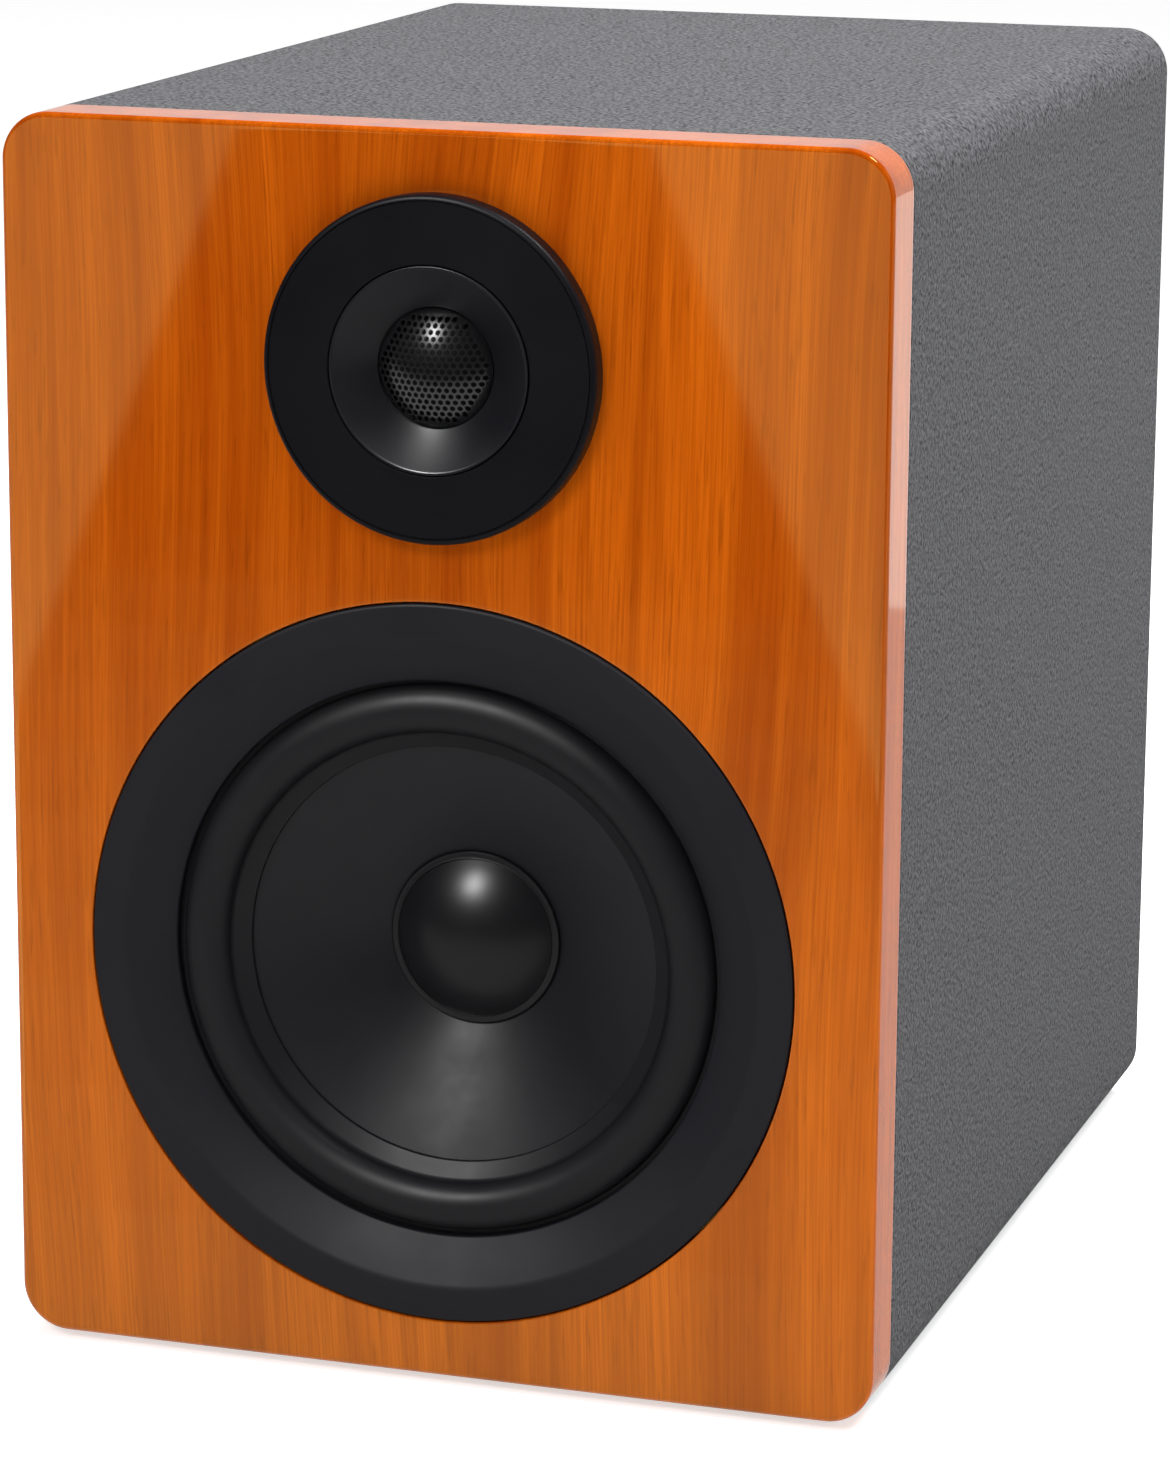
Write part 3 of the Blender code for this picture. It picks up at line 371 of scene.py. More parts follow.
def bar_grid(middle, size, start, end, corner=0.4, ease=0.2, turn=0.0, divisions=2):
    """Grid of a bar along the front-to-back axis: a rounded rectangle with its edges eased at both ends."""
    rows = [("round", 0, start), ("edge", ease, start), ("edge", 0.3 * ease, start + 0.3 * ease)]
    rows += [("edge", 0, start + ease), ("edge", 0, end - ease), ("edge", 0.3 * ease, end - 0.3 * ease)]
    rows += [("edge", ease, end), ("round", 0, end)]
    return faced_grid(middle, size, corner, rows, turn, divisions)


def joined_piece(name, grids, finish):
    return grid_piece(name, *joined(grids), finish)


def carved(made, cutters):
    """Cuts closed shapes, given as grids, out of a piece for good."""
    cutter = joined_piece(made.name + "_cutter", cutters, made.data.materials[0])
    cut = made.modifiers.new("carving", "BOOLEAN")
    cut.operation, cut.object, cut.solver = "DIFFERENCE", cutter, "EXACT"
    bpy.context.view_layer.update()
    solid = made.evaluated_get(bpy.context.evaluated_depsgraph_get())
    mesh = bpy.data.meshes.new_from_object(solid)
    made.modifiers.clear()
    made.data = mesh
    bpy.data.objects.remove(cutter)
    shade(mesh)
    return made


def softened(name, node, finish, width, segments=2):
    """A CAD node's mesh, merged and with its flat faces made whole, then its edges bevelled."""
    mesh = frame["nodes"][node].data.copy()
    mesh.name = name
    shape = bmesh.new()
    shape.from_mesh(mesh)
    bmesh.ops.remove_doubles(shape, verts=shape.verts, dist=WELD_GAP)
    bmesh.ops.dissolve_limit(shape, angle_limit=radians(1), verts=shape.verts, edges=shape.edges)
    shape.to_mesh(mesh)
    shape.free()
    shade(mesh, radians(30))
    mesh.materials.clear()
    mesh.materials.append(finish)
    made = bpy.data.objects.new(name, mesh)
    bpy.context.scene.collection.objects.link(made)
    bevel = made.modifiers.new("edges", "BEVEL")
    bevel.width, bevel.segments = width * MM, segments
    bevel.limit_method, bevel.angle_limit = "ANGLE", radians(35)
    made.modifiers.new("shading", "WEIGHTED_NORMAL").keep_sharp = True
    return made


# Finishes


def add(tree, kind, inputs=(), **settings):
    """A shader node: its settings, and its inputs' values or the outputs that feed them."""
    node = tree.nodes.new("ShaderNode" + kind)
    for key, value in settings.items():
        setattr(node, key, value)
    for socket, value in dict(inputs).items():
        if isinstance(value, bpy.types.NodeSocket):
            tree.links.new(value, node.inputs[socket])
        else:
            node.inputs[socket].default_value = value
    return node


def new_finish(name, colour, roughness, metallic=0.0, **sockets):
    """A Principled finish with its plain values on the shader's own sockets."""
    made = bpy.data.materials.new(name)
    made.use_nodes = True
    shader = made.node_tree.nodes["Principled BSDF"]
    shader.inputs["Base Color"].default_value = (*colour, 1)
    shader.inputs["Roughness"].default_value = roughness
    shader.inputs["Metallic"].default_value = metallic
    for key, value in sockets.items():
        shader.inputs[key.replace("_", " ")].default_value = value
    made.diffuse_color = (*colour, 1)
    return made, made.node_tree, shader


def laid(tree, scale=(1, 1, 1), shift=(0, 0, 0)):
    """Object coordinates, stretched and moved."""
    where = add(tree, "TexCoord").outputs["Object"]
    return add(tree, "Mapping", {"Vector": where, "Scale": scale, "Location": shift}).outputs[0]


def noise(tree, where, scale, detail=3.0, roughness=0.5, distortion=0.0):
    values = {"Vector": where, "Scale": scale, "Detail": detail, "Roughness": roughness}
    values["Distortion"] = distortion
    return add(tree, "TexNoise", values).outputs[0]


def ranged(tree, value, low, high, to_low=0.0, to_high=1.0):
    """A value stretched from one range to another, held at both ends."""
    return add(tree, "MapRange", {0: value, 1: low, 2: high, 3: to_low, 4: to_high}).outputs[0]


def combined(tree, operation, first, second):
    return add(tree, "Math", {0: first, 1: second}, operation=operation).outputs[0]


def tinted(tree, amount, first, second):
    """A colour between two, which may each be a colour or an output."""
    first, second = [(*c, 1) if isinstance(c, tuple) and len(c) == 3 else c for c in (first, second)]
    values = {0: amount, 6: first, 7: second}
    return add(tree, "Mix", values, data_type="RGBA").outputs[2]


def bumped(tree, shader, height, distance, strength=1.0):
    """Raises and lowers the surface by a height pattern times a distance in millimetres."""
    values = {"Height": height, "Distance": distance * MM, "Strength": strength}
    normal = add(tree, "Bump", values).outputs[0]
    tree.links.new(normal, shader.inputs["Normal"])


def feed(tree, shader, **wires):
    for key, output in wires.items():
        tree.links.new(output, shader.inputs[key.replace("_", " ")])


FINISHES = {}


def finish(name):
    """A finish by name, made the first time that it is asked for."""
    if name not in FINISHES:
        FINISHES[name] = globals()["finish_" + name]()
    return FINISHES[name]


def finish_cherry_lacquer():
    """Cherry veneer under clear gloss lacquer.

    The grain runs upwards and leans a little to either side. Broad bands, figure, fibres, seams and pores are
    noise stretched along it: the first three mix a lighter and a darker tone, and the others darken them.
    """
    wood = bpy.context.scene.speaker_wood
    made, tree, shader = new_finish(
        "cherry_lacquer", wood.light, 0.04, IOR=1.5, Specular_Tint=(1.0, 0.86, 0.26, 1)
    )
    slow = noise(tree, laid(tree, (1, 1, 0.45), shift=(0.05, 0, 0.02)), 9, 1, 0.5)
    lean = add(tree, "CombineXYZ", {0: ranged(tree, slow, 0.2, 0.8, -wood.lean, wood.lean)}).outputs[0]
    where = add(tree, "TexCoord").outputs["Object"]
    leaning = add(tree, "VectorMath", {0: where, 1: lean}, operation="ADD").outputs[0]

    def along_grain(scale, squeeze, detail, roughness=0.5):
        stretched = add(tree, "Mapping", {"Vector": leaning, "Scale": (1, 1, squeeze)}).outputs[0]
        return noise(tree, stretched, scale, detail, roughness)

    broad = along_grain(38, 0.05, 2)
    figure = along_grain(95, 0.03, 2)
    fibre = along_grain(420, 0.012, 3, 0.6)
    fine = along_grain(1900, 0.012, 2, 0.65)
    pore = along_grain(1300, 0.06, 1)
    shares = ((figure, 0.50), (fibre, 0.30), (broad, 0.20))
    parts = [combined(tree, "MULTIPLY", part, share) for part, share in shares]
    tone = combined(tree, "ADD", combined(tree, "ADD", parts[0], parts[1]), parts[2])
    colour = tinted(tree, ranged(tree, tone, 0.39, 0.61), tuple(wood.dark), tuple(wood.light))
    warm = ranged(tree, broad, 0.52, 0.68, 0.0, 0.5)
    colour = tinted(tree, warm, colour, tuple(1.15 * c for c in wood.light))
    seam = ranged(tree, along_grain(150, 0.02, 1), 0.64, 0.72, 0.0, 0.45)
    colour = tinted(tree, seam, colour, tuple(0.75 * c for c in wood.dark))
    streak = ranged(tree, fine, 0.38, 0.70, 0.0, 0.60)
    colour = tinted(tree, streak, colour, tuple(0.8 * c for c in wood.dark))
    dash = ranged(tree, pore, 0.62, 0.74, 0.0, 0.28)
    colour = tinted(tree, dash, colour, tuple(0.45 * c for c in wood.dark))
    feed(tree, shader, Base_Color=colour)
    return made


def finish_pebbled_vinyl():
    """Grey-black vinyl wrap with a fine pebble grain, its colour painted lighter on the pebbles' tops and darker in
    their hollows.
    """
    wood = bpy.context.scene.speaker_wood
    made, tree, shader = new_finish("pebbled_vinyl", wood.vinyl, 0.62, Specular_IOR_Level=0.3)
    where = laid(tree)
    cells = add(tree, "TexVoronoi", {"Vector": where, "Scale": 1500, "Randomness": 1.0}, feature="SMOOTH_F1")
    grain = noise(tree, where, 950, 3, 0.6)
    height = combined(tree, "SUBTRACT", grain, combined(tree, "MULTIPLY", cells.outputs[0], 0.45))
    # The bump is the pebbles' real relief. Their colour follows the same height as painted light and shade: a painted
    # highlight on the tops (pale) and painted shade in the hollows.
    shade_of = ranged(tree, height, 0.08, 0.46)
    pale, deep = tuple(2.1 * c for c in wood.vinyl), tuple(0.16 * c for c in wood.vinyl)
    feed(tree, shader, Base_Color=tinted(tree, shade_of, deep, pale))
    feed(tree, shader, Roughness=ranged(tree, grain, 0.3, 0.7, 0.72, 0.52))
    bumped(tree, shader, height, 0.22, 0.9)
    return made


def finish_fibreboard():
    """Pale brown pressed board with fine flecks."""
    made, tree, shader = new_finish("fibreboard_panels", (0.30, 0.19, 0.10), 0.88)
    fleck = noise(tree, laid(tree), 900, 4, 0.7)
    pale = ranged(tree, fleck, 0.3, 0.7)
    feed(tree, shader, Base_Color=tinted(tree, pale, (0.22, 0.13, 0.065), (0.38, 0.25, 0.14)))
    bumped(tree, shader, fleck, 0.05)
    return made


def moulded(name, colour, roughness, grain=0.012, scale=2600):
    """Moulded plastic with an even spark-eroded grain, its gloss varying slowly over the surface."""
    made, tree, shader = new_finish(name, colour, roughness)
    where = laid(tree)
    speck = noise(tree, where, scale, 2, 0.6)
    cloud = noise(tree, where, 35, 3, 0.6)
    feed(tree, shader, Roughness=ranged(tree, cloud, 0.3, 0.7, roughness * 0.9, roughness * 1.12))
    pale = tuple(1.25 * c for c in colour)
    feed(tree, shader, Base_Color=tinted(tree, ranged(tree, speck, 0.3, 0.7), colour, pale))
    bumped(tree, shader, speck, grain)
    return made


def finish_bezel_plastic():
    """Satin plastic of the woofer's ring, with a broad weak gleam."""
    made = moulded("bezel_plastic", (0.0082, 0.0082, 0.0112), 0.50)
    made.node_tree.nodes["Principled BSDF"].inputs["Specular IOR Level"].default_value = 0.30
    return made


def finish_face_plastic():
    """The tweeter's face: darker and less glossy than the woofer's ring."""
    made = moulded("face_plastic", (0.0028, 0.0028, 0.0046), 0.42, 0.005)
    made.node_tree.nodes["Principled BSDF"].inputs["Specular IOR Level"].default_value = 0.25
    return made


def finish_horn_plastic():
    return moulded("horn_plastic", (0.0055, 0.0055, 0.0075), 0.33, 0.004)


def finish_rear_plastic():
    return moulded("rear_plastic", (0.014, 0.014, 0.015), 0.42)


def finish_knob_plastic():
    return moulded("knob_plastic", (0.012, 0.012, 0.013), 0.5, 0.02, 1800)


def finish_rocker_gloss():
    return moulded("rocker_gloss", (0.016, 0.016, 0.018), 0.22, 0.004)


def finish_foot_rubber():
    return moulded("foot_rubber", (0.016, 0.016, 0.017), 0.75, 0.03, 1400)


def finish_roll_rubber():
    """Smooth butyl rubber of the woofer's surround, with a faint bloom."""
    made, tree, shader = new_finish("roll_rubber", (0.0078, 0.0078, 0.0096), 0.44, Specular_IOR_Level=0.38)
    bloom = noise(tree, laid(tree), 60, 4, 0.65)
    feed(tree, shader, Roughness=ranged(tree, bloom, 0.3, 0.7, 0.40, 0.50))
    bumped(tree, shader, noise(tree, laid(tree), 1600, 2, 0.5), 0.004)
    return made


def finish_coated_cone():
    """Pressed paper pulp under a satin coat: fine fibres show through as shallow relief."""
    made, tree, shader = new_finish("coated_cone", (0.0076, 0.0076, 0.0098), 0.45, Specular_IOR_Level=0.30)
    pulp = noise(tree, laid(tree), 1300, 4, 0.7, 0.4)
    cloud = noise(tree, laid(tree), 90, 3, 0.6)
    feed(tree, shader, Roughness=ranged(tree, cloud, 0.3, 0.7, 0.42, 0.50))
    bumped(tree, shader, pulp, 0.012)
    return made


def finish_cap_gloss():
    """Moulded dust cap with a soft gloss."""
    made, tree, shader = new_finish("cap_gloss", (0.0070, 0.0070, 0.0084), 0.33)
    bumped(tree, shader, noise(tree, laid(tree), 1500, 2, 0.5), 0.002)
    return made


def finish_spider_cloth():
    """Varnished yellow weave: two crossed sets of threads."""
    made, tree, shader = new_finish("spider_cloth", (0.42, 0.25, 0.07), 0.8, Sheen_Weight=0.2)
    warp = add(tree, "TexWave", {"Vector": laid(tree), "Scale": 260}, bands_direction="X").outputs[1]
    weft = add(tree, "TexWave", {"Vector": laid(tree), "Scale": 260}, bands_direction="Z").outputs[1]
    weave = combined(tree, "MULTIPLY", warp, weft)
    feed(tree, shader, Base_Color=tinted(tree, weave, (0.26, 0.13, 0.03), (0.52, 0.33, 0.10)))
    bumped(tree, shader, weave, 0.1)
    return made


def metal(name, colour, roughness, grain=0.004, metallic=1.0):
    """Metal with a fine drawn or cast grain and slightly uneven gloss."""
    made, tree, shader = new_finish(name, colour, roughness, metallic)
    line = noise(tree, laid(tree), 1200, 3, 0.6)
    cloud = noise(tree, laid(tree), 50, 3, 0.6)
    feed(tree, shader, Roughness=ranged(tree, cloud, 0.3, 0.7, roughness * 0.85, roughness * 1.2))
    bumped(tree, shader, line, grain)
    return made


def finish_plated_steel():
    return metal("plated_steel", (0.58, 0.58, 0.57), 0.28)


def finish_black_screw():
    return metal("black_screw", (0.045, 0.045, 0.048), 0.35, 0.006, 0.7)


def finish_stamped_steel():
    return metal("stamped_steel", (0.035, 0.035, 0.037), 0.45, 0.01, 0.4)


def finish_grille_enamel():
    return metal("grille_enamel", (0.008, 0.008, 0.009), 0.24, 0.002, 0.0)


def finish_contact_metal():
    return metal("contact_metal", (0.72, 0.66, 0.52), 0.25)


def finish_anodised():
    """Black anodised aluminium with a fine bead-blasted grain."""
    return metal("anodised_aluminium", (0.030, 0.030, 0.032), 0.42, 0.016, 0.75)


def finish_ferrite():
    """Dark grey pressed ferrite, matt and faintly mottled."""
    made, tree, shader = new_finish("ferrite", (0.035, 0.034, 0.034), 0.6)
    mottle = noise(tree, laid(tree), 400, 4, 0.7)
    feed(tree, shader, Base_Color=tinted(tree, mottle, (0.02, 0.02, 0.02), (0.06, 0.058, 0.056)))
    bumped(tree, shader, mottle, 0.04)
    return made


def finish_copper_winding():
    """Enamelled copper wire laid turn beside turn along the coil's axis."""
    made, tree, shader = new_finish("copper_winding", (0.62, 0.24, 0.09), 0.3, 1.0)
    turns = add(tree, "TexWave", {"Vector": laid(tree), "Scale": 700}, bands_direction="Y").outputs[1]
    feed(tree, shader, Base_Color=tinted(tree, turns, (0.40, 0.13, 0.04), (0.72, 0.30, 0.12)))
    bumped(tree, shader, turns, 0.05)
    return made


def finish_silk():
    """Coated silk dome: a faint weave under a tacky matt coat."""
    made, tree, shader = new_finish("coated_silk", (0.005, 0.005, 0.0055), 0.7)
    warp = add(tree, "TexWave", {"Vector": laid(tree), "Scale": 700}, bands_direction="X").outputs[1]
    weft = add(tree, "TexWave", {"Vector": laid(tree), "Scale": 700}, bands_direction="Z").outputs[1]
    weave = combined(tree, "MAXIMUM", warp, weft)
    feed(tree, shader, Roughness=ranged(tree, weave, 0, 1, 0.72, 0.55))
    bumped(tree, shader, weave, 0.02)
    return made


def finish_circuit_board():
    """Green solder resist over copper tracks."""
    made, tree, shader = new_finish("circuit_board", (0.012, 0.10, 0.035), 0.35)
    tracks = add(tree, "TexVoronoi", {"Vector": laid(tree), "Scale": 180}, distance="MANHATTAN").outputs[0]
    edge = ranged(tree, tracks, 0.42, 0.46)
    feed(tree, shader, Base_Color=tinted(tree, edge, (0.010, 0.085, 0.028), (0.03, 0.17, 0.06)))
    bumped(tree, shader, edge, 0.03)
    return made


def finish_can_sleeve():
    return moulded("can_sleeve", (0.010, 0.014, 0.035), 0.3, 0.003)


def finish_winding_tape():
    """Yellow polyester tape wound round the transformer, its overlaps showing as thin steps."""
    made, tree, shader = new_finish("winding_tape", (0.55, 0.36, 0.05), 0.35)
    winding = {"Vector": laid(tree), "Scale": 40, "Distortion": 2.0}
    lap = add(tree, "TexWave", winding, bands_direction="DIAGONAL").outputs[1]
    feed(tree, shader, Base_Color=tinted(tree, lap, (0.42, 0.25, 0.03), (0.62, 0.42, 0.07)))
    bumped(tree, shader, lap, 0.1)
    return made


def finish_lead_jacket():
    return moulded("lead_jacket", (0.32, 0.02, 0.02), 0.42, 0.004)


def finish_mark_ink():
    return moulded("mark_ink", (0.70, 0.70, 0.68), 0.5, 0.004)


def dressed(slot, finish_name, *nodes):
    """Gives CAD nodes that stay shown their finish."""
    for name in nodes:
        node = frame["nodes"][name]
        if not node.material_slots:
            node.data.materials.append(None)
        for place in node.material_slots:
            place.material = finish(finish_name)
        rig.slot(node, slot)


# Cabinet


def front_outline():
    """The baffle's core outline, divided every few millimetres and at the height between the two drivers."""
    cabinet = bpy.context.scene.speaker_cabinet
    radius, spacing = cabinet.corner_radius, 0.0038
    half_x, half_z = WIDTH / 2 - radius, HEIGHT / 2 - radius
    split = (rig.box("woofer_trim_ring")[1].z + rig.box("tweeter_trim_ring")[0].z) / 2 - BODY_MIDDLE
    across = np.linspace(-half_x, half_x, 2 * round(half_x / spacing) + 1)
    below = np.linspace(-half_z, split, round((split + half_z) / spacing) + 1)
    above = np.linspace(split, half_z, round((half_z - split) / spacing) + 1)
    up = np.concatenate([below, above[1:]])
    core, direction = core_of(half_x, half_z, across, up)
    core = core + (0, BODY_MIDDLE)
    return core, direction, across, split + BODY_MIDDLE


def inset_outline(core, direction, inset):
    """The rounded outline at an inset in metres: the core plus its directions times the remaining radius."""
    return core + direction * (bpy.context.scene.speaker_cabinet.corner_radius - inset)


def make_baffle():
    """The front, as one closed surface.

    Round the edge its rows are insets of the outline at rising depths. Each driver's opening is a grid from
    the part of the outline round it, closed by the line between the drivers, in to a circle, through the
    board and out again at the back; its circles have a point at the angle of each point of that boundary.
    """
    cabinet = bpy.context.scene.speaker_cabinet
    core, direction, across, split = front_outline()
    thickness = (BAFFLE_HIGH.y - BAFFLE_LOW.y) / MM
    edge = cabinet.front_round / MM
    turn = np.linspace(0, pi / 2, 7)
    rows = [(edge + 0.5, 0), *zip(edge * (1 - np.sin(turn)), edge * (1 - np.cos(turn)))]
    rows += [(0, edge + 0.4), (0, thickness - 0.8)]
    rows += [(0, thickness - 0.4), (0.12, thickness - 0.12), (0.4, thickness), (0.9, thickness)]
    rim = np.stack([at_depth(inset_outline(core, direction, i * MM), d * MM) for i, d in rows])
    grids = [rim]
    face, back = [inset_outline(core, direction, rows[end][0] * MM) for end in (0, -1)]
    on_split = np.flatnonzero(np.abs(core[:, 1] - split) < 1e-9)
    right, left = on_split[np.argsort(-core[on_split, 0])]
    order = np.arange(len(core))
    upper, lower = order[right : left + 1], np.concatenate([order[left:], order[: right + 1]])
    ease = cabinet.hole_round / MM
    corner = [(ease * (1 - np.sin(a)), ease * (1 - np.cos(a))) for a in np.linspace(0, pi / 2, 5)]
    hole = {"woofer": (82.1, 10.3, 67.5), "tweeter": (26.9, 10.3, 26.9)}
    for driver, members, middle, joining in (
        ("woofer", lower, WOOFER.z, across[::-1]),
        ("tweeter", upper, TWEETER.z, across),
    ):
        outer, step, inner = hole[driver]
        circles = [(outer + ease + 0.5, 0)] + [(outer + r, d) for r, d in corner]
        circles += [(outer, step), (inner, step), (inner, thickness), (inner + 0.5, thickness)]
        line = np.column_stack([joining, np.full(len(joining), split)])
        boundary = np.vstack([face[members], line])
        rear = np.vstack([back[members], line])
        angle = np.arctan2(boundary[:, 1] - middle, boundary[:, 0])
        round_points = np.column_stack([np.cos(angle), np.sin(angle)])
        opening = [at_depth(boundary, 0)]
        opening += [at_depth(round_points * r * MM + (0, middle), d * MM) for r, d in circles]
        opening.append(at_depth(rear, thickness * MM))
        grids.append(np.stack(opening))
    made = joined_piece("cherry_baffle", grids, finish("cherry_lacquer"))
    belongs(made, "lacquered_wood", "cabinet", "front_baffle")


def make_vinyl_skin():
    """The wrap: its section carried round the cabinet, folded in over the rear ends of the panels."""
    cabinet = bpy.context.scene.speaker_cabinet
    core, direction, _, _ = front_outline()
    start = (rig.box("vinyl_wrap")[0].y - FRONT) / MM
    end = (CABINET_REAR - FRONT) / MM
    thick = cabinet.wrap_thickness / MM
    turn = np.linspace(0, pi / 2, 5)
    edge = 0.9
    outside = [(0.2, start), (0.0, start + 0.2)]
    outside += zip(edge * (1 - np.cos(turn)), end - edge * (1 - np.sin(turn)))
    rows = [at_depth(inset_outline(core, direction, i * MM), d * MM) for i, d in outside]
    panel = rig.box("rear_panel")
    mouth_x, mouth_z = panel[1].x + 0.0003, (panel[1].z - panel[0].z) / 2 + 0.0003
    half_x, half_z = WIDTH / 2 - cabinet.corner_radius, HEIGHT / 2 - cabinet.corner_radius
    small = 0.0003
    squeeze = ((mouth_x - small) / half_x, (mouth_z - small) / half_z)
    mouth = (core - (0, BODY_MIDDLE)) * squeeze + (0, BODY_MIDDLE) + direction * small
    rows += [at_depth(mouth, end * MM), at_depth(mouth, (end - thick) * MM)]
    inside = [(thick + 0.4, end - thick), (thick, end - thick - 0.4), (thick, start)]
    rows += [at_depth(inset_outline(core, direction, i * MM), d * MM) for i, d in inside]
    grid = np.stack(rows)
    made = grid_piece("vinyl_skin", grid, grid_faces(len(rows), len(core)), finish("pebbled_vinyl"))
    belongs(made, "vinyl", "cabinet", "vinyl_wrap")


def make_feet():
    """Four moulded rubber pads: a turned profile with a rounded tread and a shallow dimple."""
    for number in range(1, 5):
        low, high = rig.box(f"foot_{number}")
        middle, top = (low + high) / 2, high.z / MM
        profile = [(0, 0.25), (4.6, 0.25), (5.2, 0), (7.2, 0), (8.0, 0.5), (8.0, top), (0, top)]
        grid = upright_grid(eased(profile, 0.3), middle.x, middle.y, 64)
        made = grid_piece(f"foot_pad_{number}", grid, grid_faces(len(grid), 64), finish("foot_rubber"))
        belongs(made, "rubber", "cabinet", f"foot_{number}")


# Woofer


def make_woofer_bezel():
    """The trim ring: a flat band, then a bevel that drops to the surround, over a skirt in the recess."""
    profile = [
        (81.8, -0.3), (81.8, 10.0), (79.6, 10.0), (79.6, 1.9), (74.2, 1.9), (66.0, 6.0), (66.0, 7.0),
        (63.6, 7.0), (63.6, 5.2), (74.2, -0.3),
    ]
    setback = [0.9, 0.2, 0.2, 0.3, 0.3, 0.3, 0.1, 0.25, 0.5, 0.9]
    made = turned_piece("woofer_bezel", eased(profile, setback, 5), WOOFER, finish("bezel_plastic"), 224)
    belongs(made, "satin_plastic", "cabinet", "woofer_trim_ring")


def cone_front(radius):
    """Depth of the woofer cone's straight front at a radius, both in millimetres."""
    return 9.4 + (51.4 - radius) * 0.56


def reach_weights(made, middle, inner, outer):
    """Sets how far each point follows the moving body: fully inside one radius, not at all beyond another."""
    points = np.empty(len(made.data.vertices) * 3, np.float32)
    made.data.vertices.foreach_get("co", points)
    points = points.reshape(-1, 3)
    radius = np.hypot(points[:, 0] - middle.x, points[:, 2] - middle.z) / MM
    share = np.clip((outer - radius) / (outer - inner), 0, 1)
    weight = share**2 * (3 - 2 * share)
    made.data.attributes["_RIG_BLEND"].data.foreach_set("value", weight.astype(np.float32))


def make_woofer_roll():
    """The half-roll surround: half an ellipse between two lips, the inner one glued down on the cone."""
    rise, seat, thick = 4.6, 7.3, 0.8
    outer, inner, glue = 62.4, 51.6, 47.6
    middle, reach = (outer + inner) / 2, (outer - inner) / 2
    angle = np.linspace(0, pi, 33)
    front = np.column_stack([middle - reach * np.cos(angle), seat - rise * np.sin(angle)])
    back = np.column_stack([middle - (reach - thick) * np.cos(angle), seat + thick - rise * np.sin(angle)])
    lift = thick + 0.3
    start = [(glue, cone_front(glue) - lift), (51.2, 7.95), front[0], front[2]]
    start = eased(start, [0.2, 0.5, 0.3, 0], 4)[:15]
    lip = eased([front[-3], (62.5, 7.35), (67.5, seat), (67.5, seat + thick)], [0, 0.3, 0.1, 0.1], 4)[5:]
    under = [(51.4, cone_front(51.4) - 0.3), (glue, cone_front(glue) - 0.3)]
    profile = np.vstack([start, front[2:-2], lip, back[::-1], under])
    made = turned_piece("woofer_roll", profile, WOOFER, finish("roll_rubber"), 224)
    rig.replaces(made, "woofer_surround")
    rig.slot(made, "surround_rubber")
    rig.blend(made, "cabinet", "woofer_cone_assembly", WOOFER, WOOFER + Vector((0.0624, 0, 0)))
    reach_weights(made, WOOFER, 51.6, 62.4)


def make_woofer_diaphragm():
    """The straight-sided cone: a thin wall between the surround and the neck of the coil."""
    neck, edge, thick = 13.4, 51.4, 0.8
    profile = [
        (edge, cone_front(edge)), (edge, cone_front(edge) + thick), (neck, cone_front(neck) + thick),
        (neck, cone_front(neck)),
    ]
    made = turned_piece("woofer_diaphragm", eased(profile, 0.2), WOOFER, finish("coated_cone"), 224)
    belongs(made, "coated_paper", "woofer_cone_assembly", "woofer_cone")


def make_woofer_cap():
    """The dust cap: a spherical shell that turns out into a narrow rim glued to the cone."""
    apex, edge, rise, thick, rim = 19.5, 18.15, 6.8, 0.6, 19.9
    front, back = shell_cap(apex, edge, rise, thick, 36)
    seat = cone_front(rim) - thick - 0.3
    fillet = [(edge + 0.25, seat - 0.15), (edge + 0.7, seat + 0.02)]
    outer = [(rim - 0.2, seat), (rim, seat + 0.25), (rim, cone_front(rim) - 0.3)]
    profile = np.vstack([front, fillet, outer, back[::-1]])
    made = turned_piece("woofer_dome_cap", profile, WOOFER, finish("cap_gloss"), 192)
    belongs(made, "gloss_cap", "woofer_cone_assembly", "woofer_dust_cap")


# Tweeter


def make_tweeter_bezel():
    """The tweeter's trim ring: a flat face, a fine groove, and a bull-nosed lip on the lacquer."""
    lip = 1.15
    turn = np.linspace(0, pi / 2, 10)
    nose = np.column_stack([37.9 - lip + lip * np.sin(turn), lip - 5.0 - lip * np.cos(turn)])
    rest = [(37.9, -0.4), (37.7, -0.2), (36.4, -0.2), (36.4, -3.7), (22.9, -3.7)]
    rest += [(22.9, -4.75), (23.15, -5.0)]
    groove = [(36.3, -5.0), (36.38, -4.7), (36.62, -4.7)]
    profile = np.vstack([nose, rest, groove])
    made = turned_piece("tweeter_bezel", profile, TWEETER, finish("face_plastic"), 192)
    belongs(made, "satin_plastic", "cabinet", "tweeter_trim_ring")


def make_tweeter_horn():
    """The faceplate: a shallow conical waveguide down to the throat, on a flange with a collar behind."""
    guide = [(13.3, 0.2), (13.4, 0.1), (21.6, -4.5), (21.85, -4.85)]
    outside = [(22.1, -5.0), (22.6, -5.0), (22.6, -1.9), (35.6, -1.9), (35.6, -0.3), (26.6, -0.3)]
    outside += [(26.6, 4.4), (18.7, 4.4), (18.7, 1.6), (12.7, 1.6), (12.7, 0.9), (13.3, 0.9)]
    profile = np.vstack([eased(outside, 0.15), guide])
    made = turned_piece("tweeter_horn", profile, TWEETER, finish("horn_plastic"), 176)
    belongs(made, "satin_plastic", "cabinet", "tweeter_faceplate")


